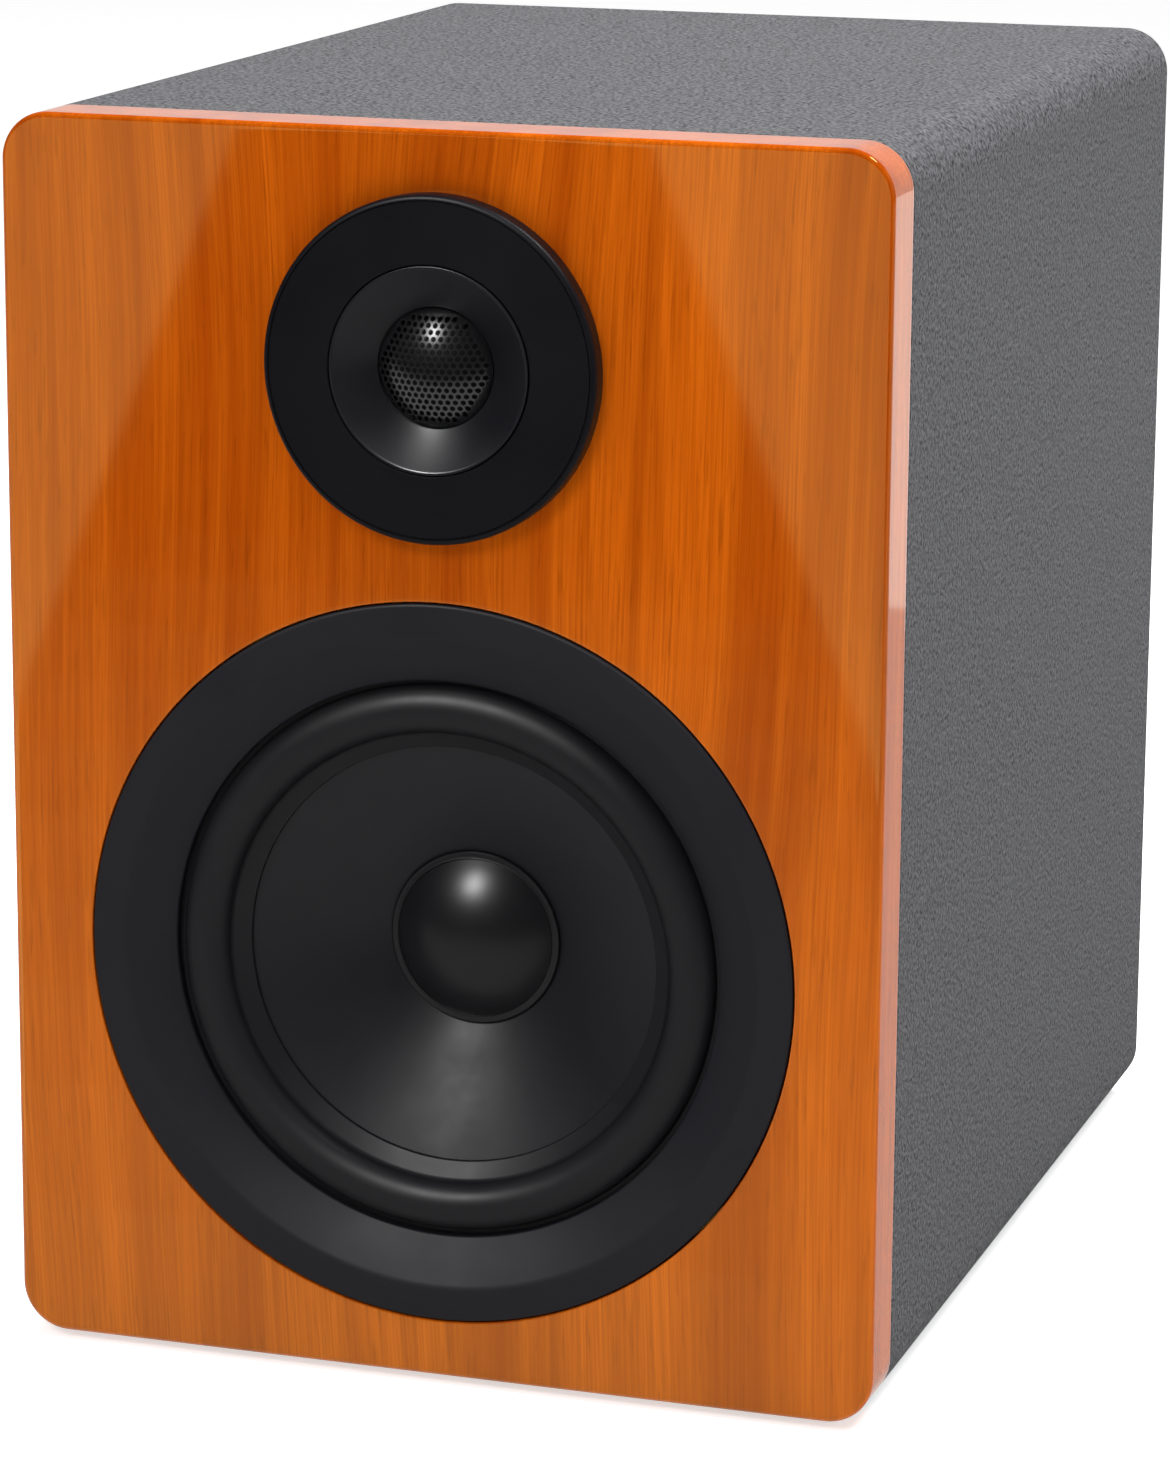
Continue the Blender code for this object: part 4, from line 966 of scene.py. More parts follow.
def make_tweeter_grille():
    """The perforated dome over the throat.

    Six-sided cells tile the sheet. Each is a grid of four rows of twelve points: its edge at the front, the
    round hole at the front and the back, and its edge at the back. The sheet's outermost points move out to
    the rim, a strip joins front to back there, and all points drop onto a spherical cap.
    """
    tweeter = bpy.context.scene.speaker_tweeter
    pitch, hole = tweeter.hole_pitch / MM, tweeter.hole_diameter / 2 / MM
    rim, apex, rise, thick = 12.95, -4.7, 4.8, 0.4
    reach = np.arange(-10, 11)
    column, row = np.meshgrid(reach, reach)
    across, up = (column + 0.5 * (row % 2)) * pitch, row * pitch * np.sqrt(0.75)
    centres = np.stack([across.ravel(), up.ravel()], axis=-1)
    centres = centres[np.hypot(*centres.T) < rim - 0.45 * pitch]
    angle = np.radians(30 * np.arange(12))
    around = np.column_stack([np.cos(angle), np.sin(angle)])
    side = np.where(np.arange(12) % 2, pitch / np.sqrt(3), pitch / 2)[:, None]
    edges = centres[:, None] + around * side
    keys = np.round(edges.reshape(-1, 2) / 0.01).astype(int)
    _, index, shared = np.unique(keys, axis=0, return_inverse=True, return_counts=True)
    outermost = shared[index.reshape(-1)].reshape(edges.shape[:2]) < np.where(np.arange(12) % 2, 3, 2)
    distance = np.hypot(edges[..., 0], edges[..., 1])
    edges = np.where(outermost[..., None], edges * (rim / distance)[..., None], edges)
    size = np.where(np.hypot(*centres.T) < rim - 0.75, hole, 0.0)[:, None, None]
    holes = centres[:, None] + around * size
    flat = np.stack([edges, holes, holes, edges], axis=1)
    radius = np.minimum(np.hypot(flat[..., 0], flat[..., 1]), rim)
    depth = cap_depth(radius, apex, rim, rise)
    depth[:, 2:] += thick
    points = np.stack([flat[..., 0], depth, flat[..., 1]], axis=-1) * MM + (TWEETER.x, FRONT, TWEETER.z)
    cells = np.arange(len(centres))[:, None, None] * 48
    faces = (grid_faces(4, 12, closed_rows=False)[None] + cells).reshape(-1, 4)
    near = np.arange(12)
    ahead = (near + 1) % 12
    open_side = outermost & np.roll(outermost, -1, axis=1)
    on_side = np.where(near % 2, np.roll(outermost, -1, axis=1), outermost) & open_side
    cell, number = np.nonzero(on_side)
    base, last_row = cell * 48, 36
    sides = np.stack([number, last_row + number, last_row + ahead[number], ahead[number]], axis=-1)
    faces = np.vstack([faces, sides + base[:, None]])
    made = grid_piece("tweeter_grille", points, faces, finish("grille_enamel"), radians(60))
    belongs(made, "perforated_steel", "cabinet", "tweeter_mesh")


def make_tweeter_dome():
    """The soft dome with its small roll, and a flat lip clamped on the top plate."""
    front, back = shell_cap(-1.4, 12.5, 3.8, 0.4, 24)
    turn = np.linspace(0.15 * pi, 0.95 * pi, 12)
    roll = np.column_stack([14.2 - 1.45 * np.cos(turn), 3.5 - 1.3 * np.sin(turn)])
    under = np.column_stack([14.2 - 1.05 * np.cos(turn), 3.85 - 1.2 * np.sin(turn)])
    lip = [(18.2, 3.9), (18.2, 4.3)]
    profile = np.vstack([front, roll, lip, under[::-1], back[::-1]])
    made = turned_piece("tweeter_silk_dome", profile, TWEETER, finish("silk"), 128)
    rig.replaces(made, "tweeter_dome")
    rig.slot(made, "silk_dome")
    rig.blend(made, "cabinet", "tweeter_dome_assembly", TWEETER, TWEETER + Vector((0.016, 0, 0)))
    reach_weights(made, TWEETER, 12.9, 15.6)


# Spider and motors


def make_woofer_spider():
    """The corrugated disc that centres the coil: a sine wave along its radius, then a flat rim."""
    inner, wave_end, rim, waves = 13.4, 38.5, 45.2, 5
    height, wave, thick = 36.0, 1.1, 0.6
    radius = np.linspace(inner, wave_end, 81)
    swing = wave * np.sin(2 * pi * waves * (radius - inner) / (wave_end - inner))
    front = np.vstack([np.column_stack([radius, height - swing]), (rim, height)])
    profile = np.vstack([front, front[::-1] + (0, thick)])
    made = turned_piece("spider_disc", profile, WOOFER, finish("spider_cloth"), 128)
    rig.replaces(made, "woofer_spider")
    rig.slot(made, "spider_cloth")
    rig.blend(made, "cabinet", "woofer_cone_assembly", WOOFER, WOOFER + Vector((0.0385, 0, 0)))
    reach_weights(made, WOOFER, inner + 1, wave_end)


def band(outer, inner, start, end):
    """Section of a plain ring."""
    return [(outer, start), (outer, end), (inner, end), (inner, start)]


def make_motors():
    """Both drivers' plates, magnets, poles and coils: each section turned about its driver's axis."""
    woofer_yoke = [(12.1, 48.4), (12.1, 70), (42, 70), (42, 75), (4.5, 75), (4.5, 48.4)]
    woofer_coil = [(13.1, 27.9), (13.1, 46.5), (13.7, 46.5), (13.7, 56), (12.6, 56), (12.6, 27.9)]
    tweeter_coil = band(12.9, 12.5, 3.2, 8)
    tweeter_yoke = [(11.9, 4.6), (11.9, 16.3), (25.5, 16.3), (25.5, 20.3), (2.5, 20.3), (2.5, 4.6)]
    steel = "plated_steel"
    sections = [
        ("woofer_plate", "woofer_top_plate", band(38.5, 14.4, 48.4, 53.4), steel, steel, 0.5),
        ("woofer_ferrite", "woofer_magnet", band(45, 20, 53.7, 69.7), "ferrite", "ferrite", 1.2),
        ("woofer_pole", "woofer_yoke", woofer_yoke, steel, steel, 0.6),
        ("woofer_coil", "woofer_voice_coil", woofer_coil, "copper_wire", "copper_winding", 0.15),
        ("tweeter_plate", "tweeter_top_plate", band(26, 13.5, 4.7, 7.7), steel, steel, 0.4),
        ("tweeter_ferrite", "tweeter_magnet", band(26, 17, 8, 16), "ferrite", "ferrite", 0.8),
        ("tweeter_pole", "tweeter_yoke", tweeter_yoke, steel, steel, 0.4),
        ("tweeter_coil", "tweeter_voice_coil", tweeter_coil, "copper_wire", "copper_winding", 0.1),
    ]
    moving = {"woofer_coil": "woofer_cone_assembly", "tweeter_coil": "tweeter_dome_assembly"}
    for name, node, section, slot, look, ease in sections:
        middle = WOOFER if name.startswith("woofer") else TWEETER
        made = turned_piece(name, eased(section, ease), middle, finish(look), 96)
        belongs(made, slot, moving.get(name, "cabinet"), node)


# Rear


def rear_place(node):
    """Middle of a rear control in the plane of the front, as (x, height) in metres."""
    low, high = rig.box(node)
    return np.array([(low.x + high.x) / 2, (low.z + high.z) / 2])


def rear_point(node):
    x, height = rear_place(node)
    return (x, FRONT, height)


def rear_depth(node, end=1):
    """Depth in millimetres of a node's foremost or rearmost point."""
    return (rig.box(node)[end].y - FRONT) / MM


def make_port():
    """The reflex port: a tube whose mouth flares as a quarter ellipse, out to a rounded lip."""
    bore, mouth, start, lip = 20.0, 28.6, 256.0, rear_depth("port_tube")
    turn = np.linspace(0, pi / 2, 33)
    flare = np.column_stack([mouth - (mouth - bore) * np.sin(turn), start + (lip - start) * np.cos(turn)])
    outside = [(22, 158), (22, 254), (27, 261), (27, 270.3), (31, 270.3), (31, 271.4), (30.0, lip)]
    outside = eased(outside + [(29.0, lip)], [0.3, 0.2, 0.2, 0.1, 0.1, 0.4, 0.6, 0.1], 5)
    profile = np.vstack([outside, flare, (bore, 158)])
    made = turned_piece("port_flare", profile, rear_point("port_tube"), finish("rear_plastic"), 192)
    belongs(made, "black_plastic", "cabinet", "port_tube")


def make_amp_panel():
    """The amplifier's plate with its edges broken, and the finned heatsink on it."""
    plate = softened("amp_panel", "amp_plate", finish("anodised"), 0.25)
    belongs(plate, "black_aluminium", "cabinet", "amp_plate")
    fins = softened("fin_block", "amp_heatsink", finish("anodised"), 0.3, 3)
    belongs(fins, "black_aluminium", "cabinet", "amp_heatsink")


def make_dial_marks():
    """Printed marks round each knob: short bars at even angles, larger ones at both ends and the top."""
    start, last, spacing = rear_depth("amp_plate"), 5, radians(30)
    large, small = (11.7, (0.6, 2.0)), (11.4, (0.4, 1.4))
    grids = []
    for node in ("volume_knob", "treble_knob"):
        middle = rear_place(node)
        for number in range(-last, last + 1):
            angle = spacing * number
            out, size = large if number in (-last, 0, last) else small
            place = middle + np.array([sin(angle), cos(angle)]) * out * MM
            grids.append(bar_grid(place, size, start - 0.05, start + 0.05, 0.15, 0.03, -angle))
    made = joined_piece("dial_marks", grids, finish("mark_ink"))
    belongs(made, "black_aluminium", "cabinet")


def make_knobs():
    """Two control knobs: a turned profile, its side fluted by a cosine of the angle, with a white pointer."""
    steps, flutes, flute_depth, pointer_rise = 288, 32, 0.28, 4.0
    for side in ("volume", "treble"):
        node = f"{side}_knob"
        rear = rear_depth(node)
        start = rear - 13.8
        side_points = [(9.35 - 0.75 * t, start + 0.9 + 11.2 * t) for t in np.linspace(0, 1, 9)]
        profile = [(0, 266.2), (1.9, 266.2), (1.9, start + 3.5), (4.4, start + 3.5), (4.4, start)]
        profile += [(9.0, start), (9.4, start + 0.4), *side_points, (8.6, rear - 1.4), (8.35, rear - 0.6)]
        profile += [(7.7, rear - 0.1), (7.2, rear), (6.6, rear - 0.25), (0, rear - 0.45)]
        grid = turned_grid(profile, *rear_place(node), steps)
        depth = (grid[:, 0, 1] - FRONT) / MM
        fluted = np.clip((depth - start - 1.2) / 0.8, 0, 1) * np.clip((rear - 2.0 - depth) / 0.8, 0, 1)
        fluted[:5] = 0
        angle = np.linspace(0, 2 * pi, steps, endpoint=False)
        groove = flute_depth * MM * fluted[:, None] * (0.5 - 0.5 * np.cos(flutes * angle)) ** 2
        grid[..., 0] -= groove * np.cos(angle)
        grid[..., 2] -= groove * np.sin(angle)
        faces = grid_faces(len(grid), steps)
        made = grid_piece(f"{side}_dial", grid, faces, finish("knob_plastic"), radians(50))
        belongs(made, "black_plastic", node, node)
        place = rear_place(node) + (0, pointer_rise * MM)
        bar = bar_grid(place, (0.9, 6.2), rear - 0.9, rear - 0.22, 0.4, 0.1)
        pointer = joined_piece(f"{side}_pointer", [bar], finish("mark_ink"))
        belongs(pointer, "black_plastic", node)


def make_pots():
    """The two controls' cans behind the plate, with the bush that each spindle turns in."""
    section = [(8, 260.5), (8, 270.0), (3.5, 270.0), (3.5, 276.0), (2.2, 276.0), (2.2, 260.5)]
    for side in ("volume", "treble"):
        node = f"{side}_pot"
        profile = eased(section, 0.3)
        can = turned_piece(f"{side}_pot_can", profile, rear_point(node), finish("plated_steel"), 64)
        belongs(can, "plated_steel", "cabinet", node)


def make_combo_jack():
    """The input socket: a rectangular flange on a round body, with a ring groove, pin holes and a notch."""
    node, corner, notch_rise, pins_out = "combo_jack", 3.0, 14.0, 6.2
    middle = rear_place(node)
    flange, face, rear = 273.1, rear_depth(node), 252.0
    rows = [("round", 0, rear), ("round", 11.4, rear), ("round", 11.7, rear + 0.3), ("round", 11.7, flange)]
    rows += [("edge", 0, flange), ("edge", 0, face - 0.6), ("edge", 0.15, face - 0.2), ("edge", 0.6, face)]
    rows += [("round", 11.9, face), ("round", 11.5, face - 0.1), ("round", 11.3, face - 0.5)]
    rows += [("round", 10.9, face - 0.7), ("round", 10.9, 262), ("round", 8.9, 262)]
    rows += [("round", 8.9, face - 1.1), ("round", 8.6, face - 0.8), ("round", 3.8, face - 0.8)]
    rows += [("round", 3.3, face - 1.2)]
    rows += [("round", 3.3, 256), ("round", 0, 256)]
    grid = faced_grid(middle, (26, 31), corner, rows, divisions=15)
    made = joined_piece("jack_shell", [grid], finish("rear_plastic"))
    notch = middle + (0, notch_rise * MM)
    holes = [bar_grid(notch, (8.8, 4.2), flange - 0.8, face + 1, 0.5, 0.1, divisions=3)]
    contacts = []
    for angle in (90, 210, 330):
        place = middle + np.array([cos(radians(angle)), sin(radians(angle))]) * pins_out * MM
        holes.append(bar_grid(place, (2.6, 2.6), 264.0, face + 1, 1.3, 0.1))
        contacts.append(bar_grid(place, (1.7, 1.7), 263.0, 271.5, 0.85, 0.3))
    belongs(carved(made, holes), "black_plastic", "cabinet", node)
    pins = joined_piece("jack_contacts", contacts, finish("contact_metal"))
    belongs(pins, "plated_steel", "cabinet")
    low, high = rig.box("jack_latch")
    size = ((high.x - low.x) / MM, (high.z - low.z) / MM)
    start, end = rear_depth("jack_latch", 0), rear_depth("jack_latch")
    tab = bar_grid(rear_place("jack_latch"), size, start, end, 0.6, 0.5, divisions=4)
    latch = joined_piece("latch_tab", [tab], finish("plated_steel"))
    belongs(latch, "plated_steel", "jack_latch", "jack_latch")


def make_rca_jack():
    """The phono socket: a turned shell with a white insert, and a nut whose radius is that of a hexagon."""
    node = "rca_jack"
    place, rear = rear_point(node), rear_depth(node)
    section = [(0, 260), (3.1, 260), (3.1, 274.9), (4.2, 274.9), (4.2, rear), (3.6, rear)]
    section += [(3.6, 276), (0, 276)]
    setback = [0, 0.3, 0.1, 0.1, 0.35, 0.1, 0.1, 0]
    shell = turned_piece("rca_shell", eased(section, setback), place, finish("contact_metal"), 96)
    belongs(shell, "plated_steel", "cabinet", node)
    insert = [(3.55, 276.0), (3.55, rear - 0.9), (1.7, rear - 0.9), (1.7, 276.0)]
    made = turned_piece("rca_insert", eased(insert, 0.2), place, finish("mark_ink"), 64)
    belongs(made, "plated_steel", "cabinet")
    start, end, across = 273.1, 275.3, 5.1
    turn = np.linspace(0, 2 * pi, 96, endpoint=False)
    hexagon = across / np.cos((turn + pi / 6) % (pi / 3) - pi / 6)
    rows = [(3.2, start), (9, start), (9, end - 0.5), (5.35, end), (3.2, end)]
    grid = np.empty((len(rows), len(turn), 3))
    for row, (limit, depth) in enumerate(rows):
        radius = np.minimum(hexagon, limit) * MM
        grid[row, :, 0] = place[0] + radius * np.cos(turn)
        grid[row, :, 1] = FRONT + depth * MM
        grid[row, :, 2] = place[2] + radius * np.sin(turn)
    nut = grid_piece("rca_nut", grid, grid_faces(len(rows), len(turn)), finish("plated_steel"), radians(25))
    belongs(nut, "plated_steel", "cabinet")


def make_mains_inlet():
    """The mains inlet with its edges broken, its three metal blades, and the fuse drawer under them."""
    housing = softened("inlet_housing", "power_inlet", finish("rear_plastic"), 0.25)
    belongs(housing, "black_plastic", "cabinet", "power_inlet")
    blades_rise = 5.6
    middle = rear_place("power_inlet") + (0, blades_rise * MM)
    blades = []
    for x, rise in ((-7, 2), (0, -2), (7, 2)):
        place = middle + np.array([x, rise]) * MM
        blades.append(bar_grid(place, (2.2, 4.2), 258.0, 272.7, 0.5, 0.5, divisions=3))
    made = joined_piece("inlet_blades", blades, finish("plated_steel"))
    belongs(made, "plated_steel", "cabinet")
    drawer = softened("drawer_front", "fuse_drawer", finish("rear_plastic"), 0.25)
    belongs(drawer, "black_plastic", "fuse_drawer", "fuse_drawer")


def make_power_switch():
    """The rocker in its frame, with a printed bar on one half and a printed ring on the other.

    The marks lie on the rocker's two faces, which slope back to its middle, all tilted about its pivot.
    """
    frame_piece = softened("switch_frame", "switch_housing", finish("rear_plastic"), 0.25)
    belongs(frame_piece, "black_plastic", "cabinet", "switch_housing")
    rocker = softened("rocker_cap", "power_rocker", finish("rocker_gloss"), 0.4, 3)
    belongs(rocker, "rocker_plastic", "power_rocker", "power_rocker")
    tilt, pivot = radians(7), 271.6
    rocker_middle, rocker_end, half_height, mark_rise = 3.2, 4.6, 9.6, 5.0
    x, height = rear_place("switch_housing")
    stroke = bar_grid((0, 0), (0.7, 4.0), -0.05, 0.06, 0.3, 0.04)
    turn = np.linspace(0, 2 * pi, 48, endpoint=False)
    circle = np.column_stack([np.cos(turn), np.sin(turn)]) * MM
    section = ((1.2, -0.05), (1.9, -0.05), (1.9, 0.06), (1.2, 0.06), (1.2, -0.05))
    ring = np.stack([at_depth(circle * radius, depth * MM) for radius, depth in section])
    marks = []
    for grid, along in ((stroke, -mark_rise), (ring, mark_rise)):
        across, out, up = grid[..., 0], grid[..., 1] - FRONT, grid[..., 2] + along * MM
        slope = (rocker_end - rocker_middle) / half_height
        out = out + (rocker_middle + slope * np.abs(up / MM)) * MM
        turned_marks = np.empty_like(grid)
        turned_marks[..., 0] = across + x
        turned_marks[..., 1] = FRONT + pivot * MM + out * cos(tilt) + up * sin(tilt)
        turned_marks[..., 2] = height + up * cos(tilt) - out * sin(tilt)
        marks.append(turned_marks)
    made = joined_piece("rocker_marks", marks, finish("mark_ink"))
    belongs(made, "rocker_plastic", "power_rocker")


def make_amp_screws():
    """Four pan-head screws with a cross recess: a turned profile, cut by two tapering bars."""
    for number in range(1, 5):
        node = f"amp_screw_{number}"
        rear = rear_depth(node)
        seat = rear - 2.0
        profile = [(0, 263.2), (1.2, 264), (1.6, 265), (1.6, seat), (3.3, seat), (3.3, rear - 0.9)]
        profile += [(2.4, rear), (0, rear)]
        head = eased(profile, [0, 0.3, 0.3, 0.1, 0.15, 0.5, 0.6, 0], 4)
        made = turned_piece(f"plate_screw_{number}", head, rear_point(node), finish("black_screw"), 64)
        turn = radians(17 + 23 * number)
        for quarter in (0, pi / 2):
            bar = bar_grid(rear_place(node), (0.75, 3.6), rear - 1.1, rear + 0.6, 0.15, 0.1, turn + quarter)
            carved(made, [bar])
        belongs(made, "black_screw", "cabinet", node)


def make_inner_parts():
    """The transformer's wound ring and the capacitor's can, turned about their own axes."""
    low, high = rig.box("transformer")
    bottom, top = low.z / MM, high.z / MM
    section = [(38, bottom), (38, top), (10, top), (10, bottom)]
    middle = (low + high) / 2
    grid = upright_grid(eased(section, [7, 7, 4, 4], 8), middle.x, middle.y, 128)
    ring = grid_piece("transformer_ring", grid, grid_faces(len(grid), 128), finish("winding_tape"))
    belongs(ring, "transformer_wrap", "cabinet", "transformer")
    front, rear = rear_depth("amp_capacitor", 0), rear_depth("amp_capacitor")
    can = [(0, front + 0.3), (9.6, front + 0.3), (10.4, front), (11, front + 0.8), (11, rear - 4.2)]
    can += [(10.3, rear - 3.4), (11, rear - 2.6), (11, rear), (0, rear)]
    place = rear_point("amp_capacitor")
    made = turned_piece("capacitor_can", eased(can, 0.3), place, finish("can_sleeve"), 64)
    belongs(made, "capacitor_can", "cabinet", "amp_capacitor")


def dress_hidden_nodes():
    """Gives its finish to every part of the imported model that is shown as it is."""
    screws = [f"woofer_screw_{n}" for n in range(1, 5)] + [f"tweeter_screw_{n}" for n in range(1, 4)]
    dressed("fibreboard", "fibreboard", "left_side_panel", "right_side_panel", "top_panel", "bottom_panel")
    dressed("vinyl", "pebbled_vinyl", "rear_panel")
    dressed("black_steel", "stamped_steel", "woofer_basket")
    dressed("black_plastic", "rear_plastic", "woofer_terminals")
    dressed("plated_steel", "plated_steel", *screws)
    dressed("circuit_board", "circuit_board", "amp_board")
    dressed("lead_jacket", "lead_jacket", "woofer_lead", "tweeter_lead")


# Stage


def receivers(name, pieces, left_out=False):
    """A collection that limits a light to some pieces, or to all the others."""
    only = bpy.data.collections.new(name)
    for piece in pieces:
        only.objects.link(bpy.data.objects[piece])
    for link in only.collection_objects:
        link.light_linking.link_state = "EXCLUDE" if left_out else "INCLUDE"
    return only


def glossy_card(name, corners, strength, pieces):
    """A flat reflector seen only in the reflections of some pieces, given as corners in metres."""
    mesh = bpy.data.meshes.new(name)
    mesh.from_pydata(corners, [], [(0, 1, 2, 3)])
    material = bpy.data.materials.new(name)
    material.use_nodes = True
    tree = material.node_tree
    tree.nodes.clear()
    glow = add(tree, "Emission", {"Strength": strength})
    tree.links.new(glow.outputs[0], add(tree, "OutputMaterial").inputs[0])
    mesh.materials.append(material)
    card = bpy.data.objects.new(name, mesh)
    bpy.context.scene.collection.objects.link(card)
    card.visible_camera = card.visible_diffuse = card.visible_shadow = False
    card.visible_transmission = card.visible_volume_scatter = False
    card.light_linking.receiver_collection = receivers(name, pieces)
    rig.stage(card)


def mirrored_light(name, place, target, size, radiance, pieces, left_out=False):
    """A rectangle of light seen only in the reflections of some pieces, or of all but them."""
    power = radiance * pi * size[0] * size[1]
    lamp = area_light(name, place, target, size, power, "gloss")
    lamp.light_linking.receiver_collection = receivers(name, pieces, left_out)


def area_light(name, place, target, size, power, lights="both"):
    """A soft light at a place, facing a target: a rectangle, or a disc if its size is one number.

    lights is "diffuse" or "gloss" for a light that makes only one kind of reflection.
    """
    data = bpy.data.lights.new(name, "AREA")
    if isinstance(size, tuple):
        data.shape, data.size, data.size_y = "RECTANGLE", *size
    else:
        data.shape, data.size = "DISK", size
    data.energy = power
    lamp = bpy.data.objects.new(name, data)
    lamp.location = place
    lamp.rotation_euler = (Vector(target) - Vector(place)).to_track_quat("-Z", "Y").to_euler()
    lamp.visible_camera = False
    lamp.visible_glossy = lights != "diffuse"
    lamp.visible_diffuse = lights != "gloss"
    bpy.context.scene.collection.objects.link(lamp)
    return lamp


def make_camera():
    """The camera to the right of the front and above it, turned by its yaw, pitch and roll."""
    stage = bpy.context.scene.speaker_stage
    yaw, pitch, roll = stage.camera_yaw, stage.camera_pitch, stage.camera_roll
    ahead = Vector((sin(yaw) * cos(pitch), cos(yaw) * cos(pitch), sin(pitch)))
    level = Vector((cos(yaw), -sin(yaw), 0))
    upward = level.cross(ahead)
    right = cos(roll) * level + sin(roll) * upward
    top = cos(roll) * upward - sin(roll) * level
    data = bpy.data.cameras.new("camera")
    data.lens, data.sensor_width = stage.lens, 36
    data.clip_start, data.clip_end = 0.05, 50
    camera = bpy.data.objects.new("camera", data)
    turned = Matrix((right, top, -ahead)).transposed().to_4x4()
    camera.matrix_world = Matrix.Translation(stage.camera_place) @ turned
    bpy.context.scene.collection.objects.link(camera)
    bpy.context.scene.camera = camera


def make_world():
    """A plain world: white behind the object, and dimmer where it lights and is reflected."""
    stage = bpy.context.scene.speaker_stage
    world = bpy.data.worlds.new("studio")
    bpy.context.scene.world = world
    world.use_nodes = True
    tree = world.node_tree
    tree.nodes.clear()
    path = add(tree, "LightPath")
    lit = ranged(tree, path.outputs["Is Glossy Ray"], 0, 1, stage.world_strength, stage.world_mirrored)
    strength = combined(tree, "MAXIMUM", lit, path.outputs["Is Camera Ray"])
    glow = add(tree, "Background", {0: (1, 1, 1, 1), 1: strength})
    tree.links.new(glow.outputs[0], add(tree, "OutputWorld").inputs[0])


def make_floor():
    """A wide pale floor, white where the lights reach it. Lights stand in for it in the reflections."""
    size = 6.0
    grid = np.array([(x, y, 0.0) for y in (-size, size) for x in (-size, size)])
    mesh = bpy.data.meshes.new("floor")
    fill_mesh(mesh, grid, grid_faces(2, 2, False, False))
    material = bpy.data.materials.new("pale_floor")
    material.use_nodes = True
    tree = material.node_tree
    shader = tree.nodes["Principled BSDF"]
    shader.inputs["Roughness"].default_value = 0.9
    shader.inputs["Specular IOR Level"].default_value = 0.0
    fibre = noise(tree, laid(tree), 40, 3, 0.6)
    feed(tree, shader, Base_Color=tinted(tree, fibre, (0.86, 0.86, 0.86), (0.90, 0.90, 0.90)))
    shader.inputs["Emission Color"].default_value = (1, 1, 1, 1)
    seen = add(tree, "LightPath").outputs["Is Camera Ray"]
    glow = combined(tree, "MULTIPLY", seen, bpy.context.scene.speaker_stage.floor_glow)
    feed(tree, shader, Emission_Strength=glow)
    mesh.materials.append(material)
    floor = bpy.data.objects.new("floor", mesh)
    bpy.context.scene.collection.objects.link(floor)
    floor.visible_glossy = False
    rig.stage(floor)


def make_lights():
    """Soft boxes over and beside the object, and the reflectors that its glossy surfaces mirror.

    The lacquer mirrors two tall cards, one on each side, and the table in front in strips that fade with
    their distance. The cone, the cap, the grille and all the rest mirror the table at strengths of their own.
    """
    stage = bpy.context.scene.speaker_stage
    lacquer, cone, cap, grille = "cherry_baffle", "woofer_diaphragm", "woofer_dome_cap", "tweeter_grille"
    aim = (0, 0, 0.15)
    gleam = stage.gleam_power
    area_light("key", (-0.30, -1.45, 1.20), aim, (0.55, 0.55), stage.key_power, "diffuse")
    key_gleam = area_light("key_gleam", (-0.50, -1.47, 1.32), aim, (0.34, 0.50), gleam, "gloss")
    key_gleam.light_linking.receiver_collection = receivers("key_gleam", [lacquer], left_out=True)
    area_light("rim_gleam", (0.70, -0.10, 1.50), aim, 0.30, 0.5 * gleam, "gloss")
    horn_gleam = area_light("horn_gleam", (-0.49, -1.36, 1.60), aim, 0.40, 1.3 * gleam, "gloss")
    horn_gleam.light_linking.receiver_collection = receivers("horn_gleam", ["tweeter_horn"])
    area_light("overhead", (0.35, 0.05, 1.50), aim, (1.2, 1.2), stage.top_power, "diffuse")
    area_light("side", (1.60, -0.10, 0.75), aim, (1.0, 1.0), stage.side_power)

    y, card_glow = -1.20, 1.6
    left = [(-1.6, y, 0.5), (-0.326, y, 0.5), (-0.700, y, -0.40), (-1.6, y, -0.40)]
    right = [(-0.422, y, 0.5), (0.6, y, 0.5), (0.6, y, -0.124), (-0.179, y, -0.124)]
    glossy_card("left_reflector", left, card_glow, [lacquer])
    glossy_card("right_reflector", right, card_glow, [lacquer])

    low, near, beneath, far, wide = 0.0006, -0.66, -0.14, 3.0, 6.0

    def table(start, end):
        middle = (start + end) / 2
        return (0, middle, low), (0, middle, 1), (wide, end - start)

    own = [lacquer, cone, cap, grille]
    mirrored_light("table", *table(near, far), stage.table_mirrored, own, left_out=True)
    strips, reach, brightest = 10, 0.90, 1.6
    for strip in range(strips):
        start = beneath - reach * (strip + 1) / strips
        place = table(start, start + reach / strips)
        fading = brightest * (1 - (strip + 0.5) / strips)
        mirrored_light(f"table_in_lacquer_{strip}", *place, fading, [lacquer])
    mirrored_light("table_behind_in_lacquer", *table(beneath, far), 0.70, [lacquer])
    mirrored_light("table_in_cone", *table(near, far), 0.60, [cone])
    mirrored_light("table_in_cap", *table(near, far), 0.32, [cap])
    mirrored_light("table_in_grille", *table(near, far), 1.10, [grille])
    backdrop = ((0, far, 1.0), (0, 0, 1.0), (wide, 3.0))
    mirrored_light("backdrop", *backdrop, stage.backdrop_mirrored, [lacquer], left_out=True)
    mirrored_light("backdrop_in_lacquer", *backdrop, 0.70, [lacquer])


# Settings


def length(label, hint, default):
    return FloatProperty(name=label, description=hint, default=default, unit="LENGTH", precision=5)


def turn_of(label, hint, default):
    return FloatProperty(name=label, description=hint, default=default, unit="ROTATION")


def strength_of(label, hint, default):
    return FloatProperty(name=label, description=hint, default=default)


def colour(label, hint, default):
    return FloatVectorProperty(name=label, description=hint, default=default, subtype="COLOR", min=0, max=1)


def power(label, hint, default):
    return FloatProperty(name=label, description=hint, default=default, unit="POWER")


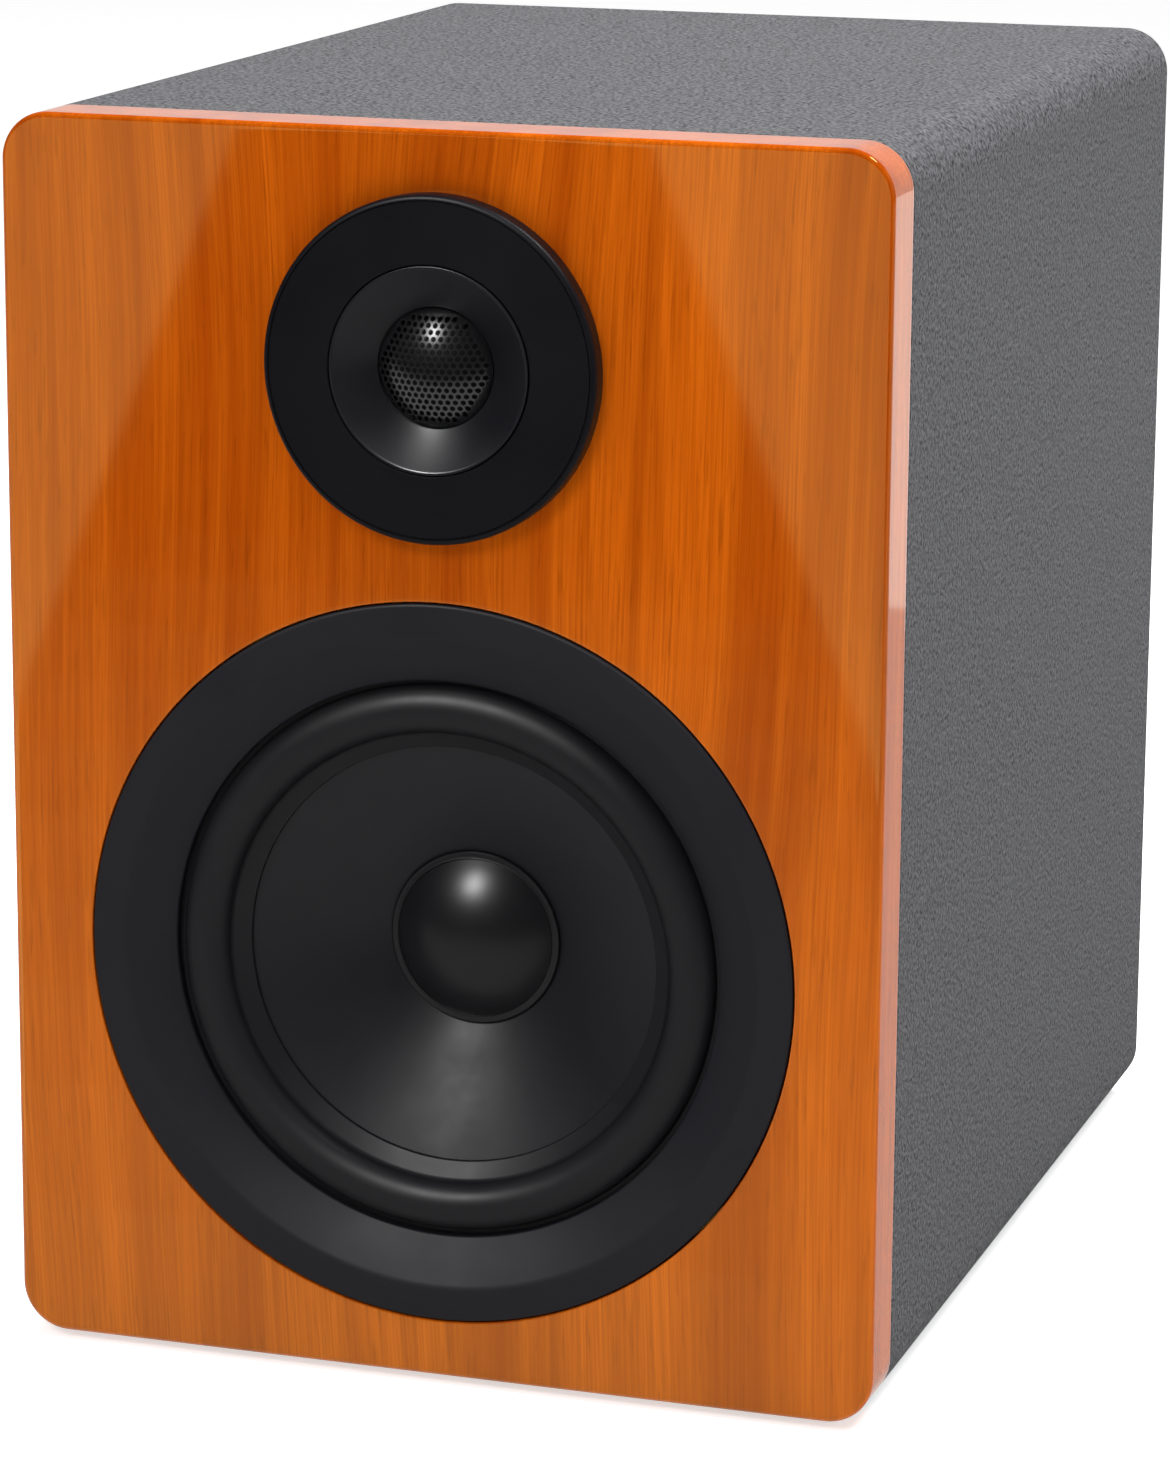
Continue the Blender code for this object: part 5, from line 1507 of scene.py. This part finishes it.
class SpeakerCabinet(bpy.types.PropertyGroup):
    corner_radius: length("Corner radius", "Radius of the front's four corners", 0.0108)
    front_round: length("Front edge", "Rounding of the lacquered front's edge", 0.0013)
    hole_round: length("Hole edge", "Rounding of the lacquer into the drivers' holes", 0.0004)
    wrap_thickness: length("Wrap thickness", "Thickness of the vinyl wrap", 0.0005)


class SpeakerWood(bpy.types.PropertyGroup):
    light: colour("Light veneer", "The veneer's lighter tone", (0.50, 0.098, 0.0032))
    dark: colour("Dark veneer", "The veneer's darker tone", (0.32, 0.046, 0.0010))
    lean: length("Grain lean", "How far the grain leans to either side", 0.010)
    vinyl: colour("Vinyl", "The wrap's middle tone", (0.060, 0.060, 0.064))


class SpeakerTweeter(bpy.types.PropertyGroup):
    hole_pitch: length("Hole pitch", "Distance between the grille's holes", 0.00157)
    hole_diameter: length("Hole diameter", "Diameter of the grille's holes", 0.00112)


class SpeakerStage(bpy.types.PropertyGroup):
    camera_place: FloatVectorProperty(
        name="Camera place",
        description="Where the camera stands",
        default=(0.3757, -1.1839, 0.4133),
        unit="LENGTH",
    )
    camera_yaw: turn_of("Yaw", "Turn to the right", -0.31640)
    camera_pitch: turn_of("Pitch", "Tilt upwards", -0.23205)
    camera_roll: turn_of("Roll", "Turn about the view", 0.00611)
    lens: strength_of("Lens", "Focal length in millimetres", 128.95)
    key_power: power("Key", "Power of the light over the front", 11.0)
    gleam_power: power("Gleam", "Power of the small light that makes the gleams", 24.0)
    table_mirrored: strength_of("Mirrored table", "Strength of the table in reflections", 0.30)
    backdrop_mirrored: strength_of("Mirrored backdrop", "Strength of the backdrop in reflections", 0.6)
    top_power: power("Overhead", "Power of the light overhead", 42.0)
    side_power: power("Side", "Power of the light on the right", 2.0)
    world_strength: strength_of("World", "Strength of the world's light", 0.35)
    world_mirrored: strength_of("Mirrored world", "Strength of the world in reflections", 0.035)
    floor_glow: strength_of("Floor glow", "How much whiter the floor is seen", 0.6)


# Operators


class PieceMaker:
    """What the makers' operators share: each can be undone."""

    bl_options = {"REGISTER", "UNDO"}


class SPEAKER_OT_front(PieceMaker, bpy.types.Operator):
    """Makes the lacquered front, with its drivers' openings"""

    bl_idname = "speaker.front"
    bl_label = "Lacquered front"

    def execute(self, context):
        make_baffle()
        return {"FINISHED"}


class SPEAKER_OT_wrap(PieceMaker, bpy.types.Operator):
    """Makes the vinyl skin round the cabinet"""

    bl_idname = "speaker.wrap"
    bl_label = "Vinyl wrap"

    def execute(self, context):
        make_vinyl_skin()
        return {"FINISHED"}


class SPEAKER_OT_feet(PieceMaker, bpy.types.Operator):
    """Makes the four rubber feet"""

    bl_idname = "speaker.feet"
    bl_label = "Feet"

    def execute(self, context):
        make_feet()
        return {"FINISHED"}


class SPEAKER_OT_woofer_ring(PieceMaker, bpy.types.Operator):
    """Makes the woofer's trim ring"""

    bl_idname = "speaker.woofer_ring"
    bl_label = "Woofer trim ring"

    def execute(self, context):
        make_woofer_bezel()
        return {"FINISHED"}


class SPEAKER_OT_woofer_roll(PieceMaker, bpy.types.Operator):
    """Makes the woofer's half-roll surround"""

    bl_idname = "speaker.woofer_roll"
    bl_label = "Woofer surround"

    def execute(self, context):
        make_woofer_roll()
        return {"FINISHED"}


class SPEAKER_OT_woofer_cone(PieceMaker, bpy.types.Operator):
    """Makes the woofer's cone"""

    bl_idname = "speaker.woofer_cone"
    bl_label = "Woofer cone"

    def execute(self, context):
        make_woofer_diaphragm()
        return {"FINISHED"}


class SPEAKER_OT_woofer_cap(PieceMaker, bpy.types.Operator):
    """Makes the woofer's dust cap"""

    bl_idname = "speaker.woofer_cap"
    bl_label = "Dust cap"

    def execute(self, context):
        make_woofer_cap()
        return {"FINISHED"}


class SPEAKER_OT_woofer_spider(PieceMaker, bpy.types.Operator):
    """Makes the woofer's corrugated spider"""

    bl_idname = "speaker.woofer_spider"
    bl_label = "Spider"

    def execute(self, context):
        make_woofer_spider()
        return {"FINISHED"}


class SPEAKER_OT_tweeter_ring(PieceMaker, bpy.types.Operator):
    """Makes the tweeter's trim ring"""

    bl_idname = "speaker.tweeter_ring"
    bl_label = "Tweeter trim ring"

    def execute(self, context):
        make_tweeter_bezel()
        return {"FINISHED"}


class SPEAKER_OT_tweeter_horn(PieceMaker, bpy.types.Operator):
    """Makes the tweeter's faceplate and waveguide"""

    bl_idname = "speaker.tweeter_horn"
    bl_label = "Waveguide"

    def execute(self, context):
        make_tweeter_horn()
        return {"FINISHED"}


class SPEAKER_OT_tweeter_grille(PieceMaker, bpy.types.Operator):
    """Makes the tweeter's perforated grille"""

    bl_idname = "speaker.tweeter_grille"
    bl_label = "Grille"

    def execute(self, context):
        make_tweeter_grille()
        return {"FINISHED"}


class SPEAKER_OT_tweeter_dome(PieceMaker, bpy.types.Operator):
    """Makes the tweeter's soft dome"""

    bl_idname = "speaker.tweeter_dome"
    bl_label = "Dome"

    def execute(self, context):
        make_tweeter_dome()
        return {"FINISHED"}


class SPEAKER_OT_motors(PieceMaker, bpy.types.Operator):
    """Makes both drivers' plates, magnets, poles and coils"""

    bl_idname = "speaker.motors"
    bl_label = "Motors"

    def execute(self, context):
        make_motors()
        return {"FINISHED"}


class SPEAKER_OT_port(PieceMaker, bpy.types.Operator):
    """Makes the flared reflex port"""

    bl_idname = "speaker.port"
    bl_label = "Port"

    def execute(self, context):
        make_port()
        return {"FINISHED"}


class SPEAKER_OT_amplifier(PieceMaker, bpy.types.Operator):
    """Makes the amplifier's plate, its heatsink and the printed marks"""

    bl_idname = "speaker.amplifier"
    bl_label = "Amplifier plate"

    def execute(self, context):
        make_amp_panel()
        make_dial_marks()
        return {"FINISHED"}


class SPEAKER_OT_amplifier_screws(PieceMaker, bpy.types.Operator):
    """Makes the four screws of the amplifier's plate"""

    bl_idname = "speaker.amplifier_screws"
    bl_label = "Plate screws"

    def execute(self, context):
        make_amp_screws()
        return {"FINISHED"}


class SPEAKER_OT_knobs(PieceMaker, bpy.types.Operator):
    """Makes the two knobs and their controls"""

    bl_idname = "speaker.knobs"
    bl_label = "Knobs"

    def execute(self, context):
        make_knobs()
        make_pots()
        return {"FINISHED"}


class SPEAKER_OT_sockets(PieceMaker, bpy.types.Operator):
    """Makes the combined socket with its latch, and the phono socket"""

    bl_idname = "speaker.sockets"
    bl_label = "Input sockets"

    def execute(self, context):
        make_combo_jack()
        make_rca_jack()
        return {"FINISHED"}


class SPEAKER_OT_mains(PieceMaker, bpy.types.Operator):
    """Makes the mains inlet, its fuse drawer and the power switch"""

    bl_idname = "speaker.mains"
    bl_label = "Mains inlet and switch"

    def execute(self, context):
        make_mains_inlet()
        make_power_switch()
        return {"FINISHED"}


class SPEAKER_OT_inner_parts(PieceMaker, bpy.types.Operator):
    """Makes the transformer and the capacitor, and finishes every part shown as packed"""

    bl_idname = "speaker.inner_parts"
    bl_label = "Inner parts"

    def execute(self, context):
        make_inner_parts()
        dress_hidden_nodes()
        return {"FINISHED"}


class SPEAKER_OT_stage(PieceMaker, bpy.types.Operator):
    """Makes the floor, the world, the lights and the camera"""

    bl_idname = "speaker.stage"
    bl_label = "Stage"

    def execute(self, context):
        make_camera()
        make_world()
        make_floor()
        make_lights()
        context.scene.view_settings.view_transform = "Standard"
        return {"FINISHED"}


MAKERS = (
    SPEAKER_OT_front,
    SPEAKER_OT_wrap,
    SPEAKER_OT_feet,
    SPEAKER_OT_woofer_ring,
    SPEAKER_OT_woofer_roll,
    SPEAKER_OT_woofer_cone,
    SPEAKER_OT_woofer_cap,
    SPEAKER_OT_woofer_spider,
    SPEAKER_OT_tweeter_ring,
    SPEAKER_OT_tweeter_horn,
    SPEAKER_OT_tweeter_grille,
    SPEAKER_OT_tweeter_dome,
    SPEAKER_OT_motors,
    SPEAKER_OT_port,
    SPEAKER_OT_amplifier,
    SPEAKER_OT_amplifier_screws,
    SPEAKER_OT_knobs,
    SPEAKER_OT_sockets,
    SPEAKER_OT_mains,
    SPEAKER_OT_inner_parts,
    SPEAKER_OT_stage,
)


class SPEAKER_PT_panel(bpy.types.Panel):
    """The speaker's settings and makers"""

    bl_idname = "SPEAKER_PT_panel"
    bl_label = "Desktop speaker"
    bl_space_type = "VIEW_3D"
    bl_region_type = "UI"
    bl_category = "Speaker"

    def draw(self, context):
        layout = self.layout
        for settings in SETTINGS:
            group = getattr(context.scene, settings)
            box = layout.box()
            for key in group.bl_rna.properties.keys():
                if key not in ("rna_type", "name"):
                    box.prop(group, key)
        for maker in MAKERS:
            layout.operator(maker.bl_idname)


SETTINGS = {
    "speaker_cabinet": SpeakerCabinet,
    "speaker_wood": SpeakerWood,
    "speaker_tweeter": SpeakerTweeter,
    "speaker_stage": SpeakerStage,
}


def register():
    for kind in (*SETTINGS.values(), *MAKERS, SPEAKER_PT_panel):
        bpy.utils.register_class(kind)
    for name, kind in SETTINGS.items():
        setattr(bpy.types.Scene, name, PointerProperty(type=kind))


def unregister():
    for name in SETTINGS:
        delattr(bpy.types.Scene, name)
    for kind in reversed((*SETTINGS.values(), *MAKERS, SPEAKER_PT_panel)):
        bpy.utils.unregister_class(kind)


def main():
    register()
    for maker in MAKERS:
        group, name = maker.bl_idname.split(".")
        getattr(getattr(bpy.ops, group), name)()
    with open("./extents.json", "w") as file:
        json.dump({"cad": [list(p) for p in CAD_BOX], "visual": [list(p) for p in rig.bounds()]}, file)


if __name__ == "__main__":
    main()
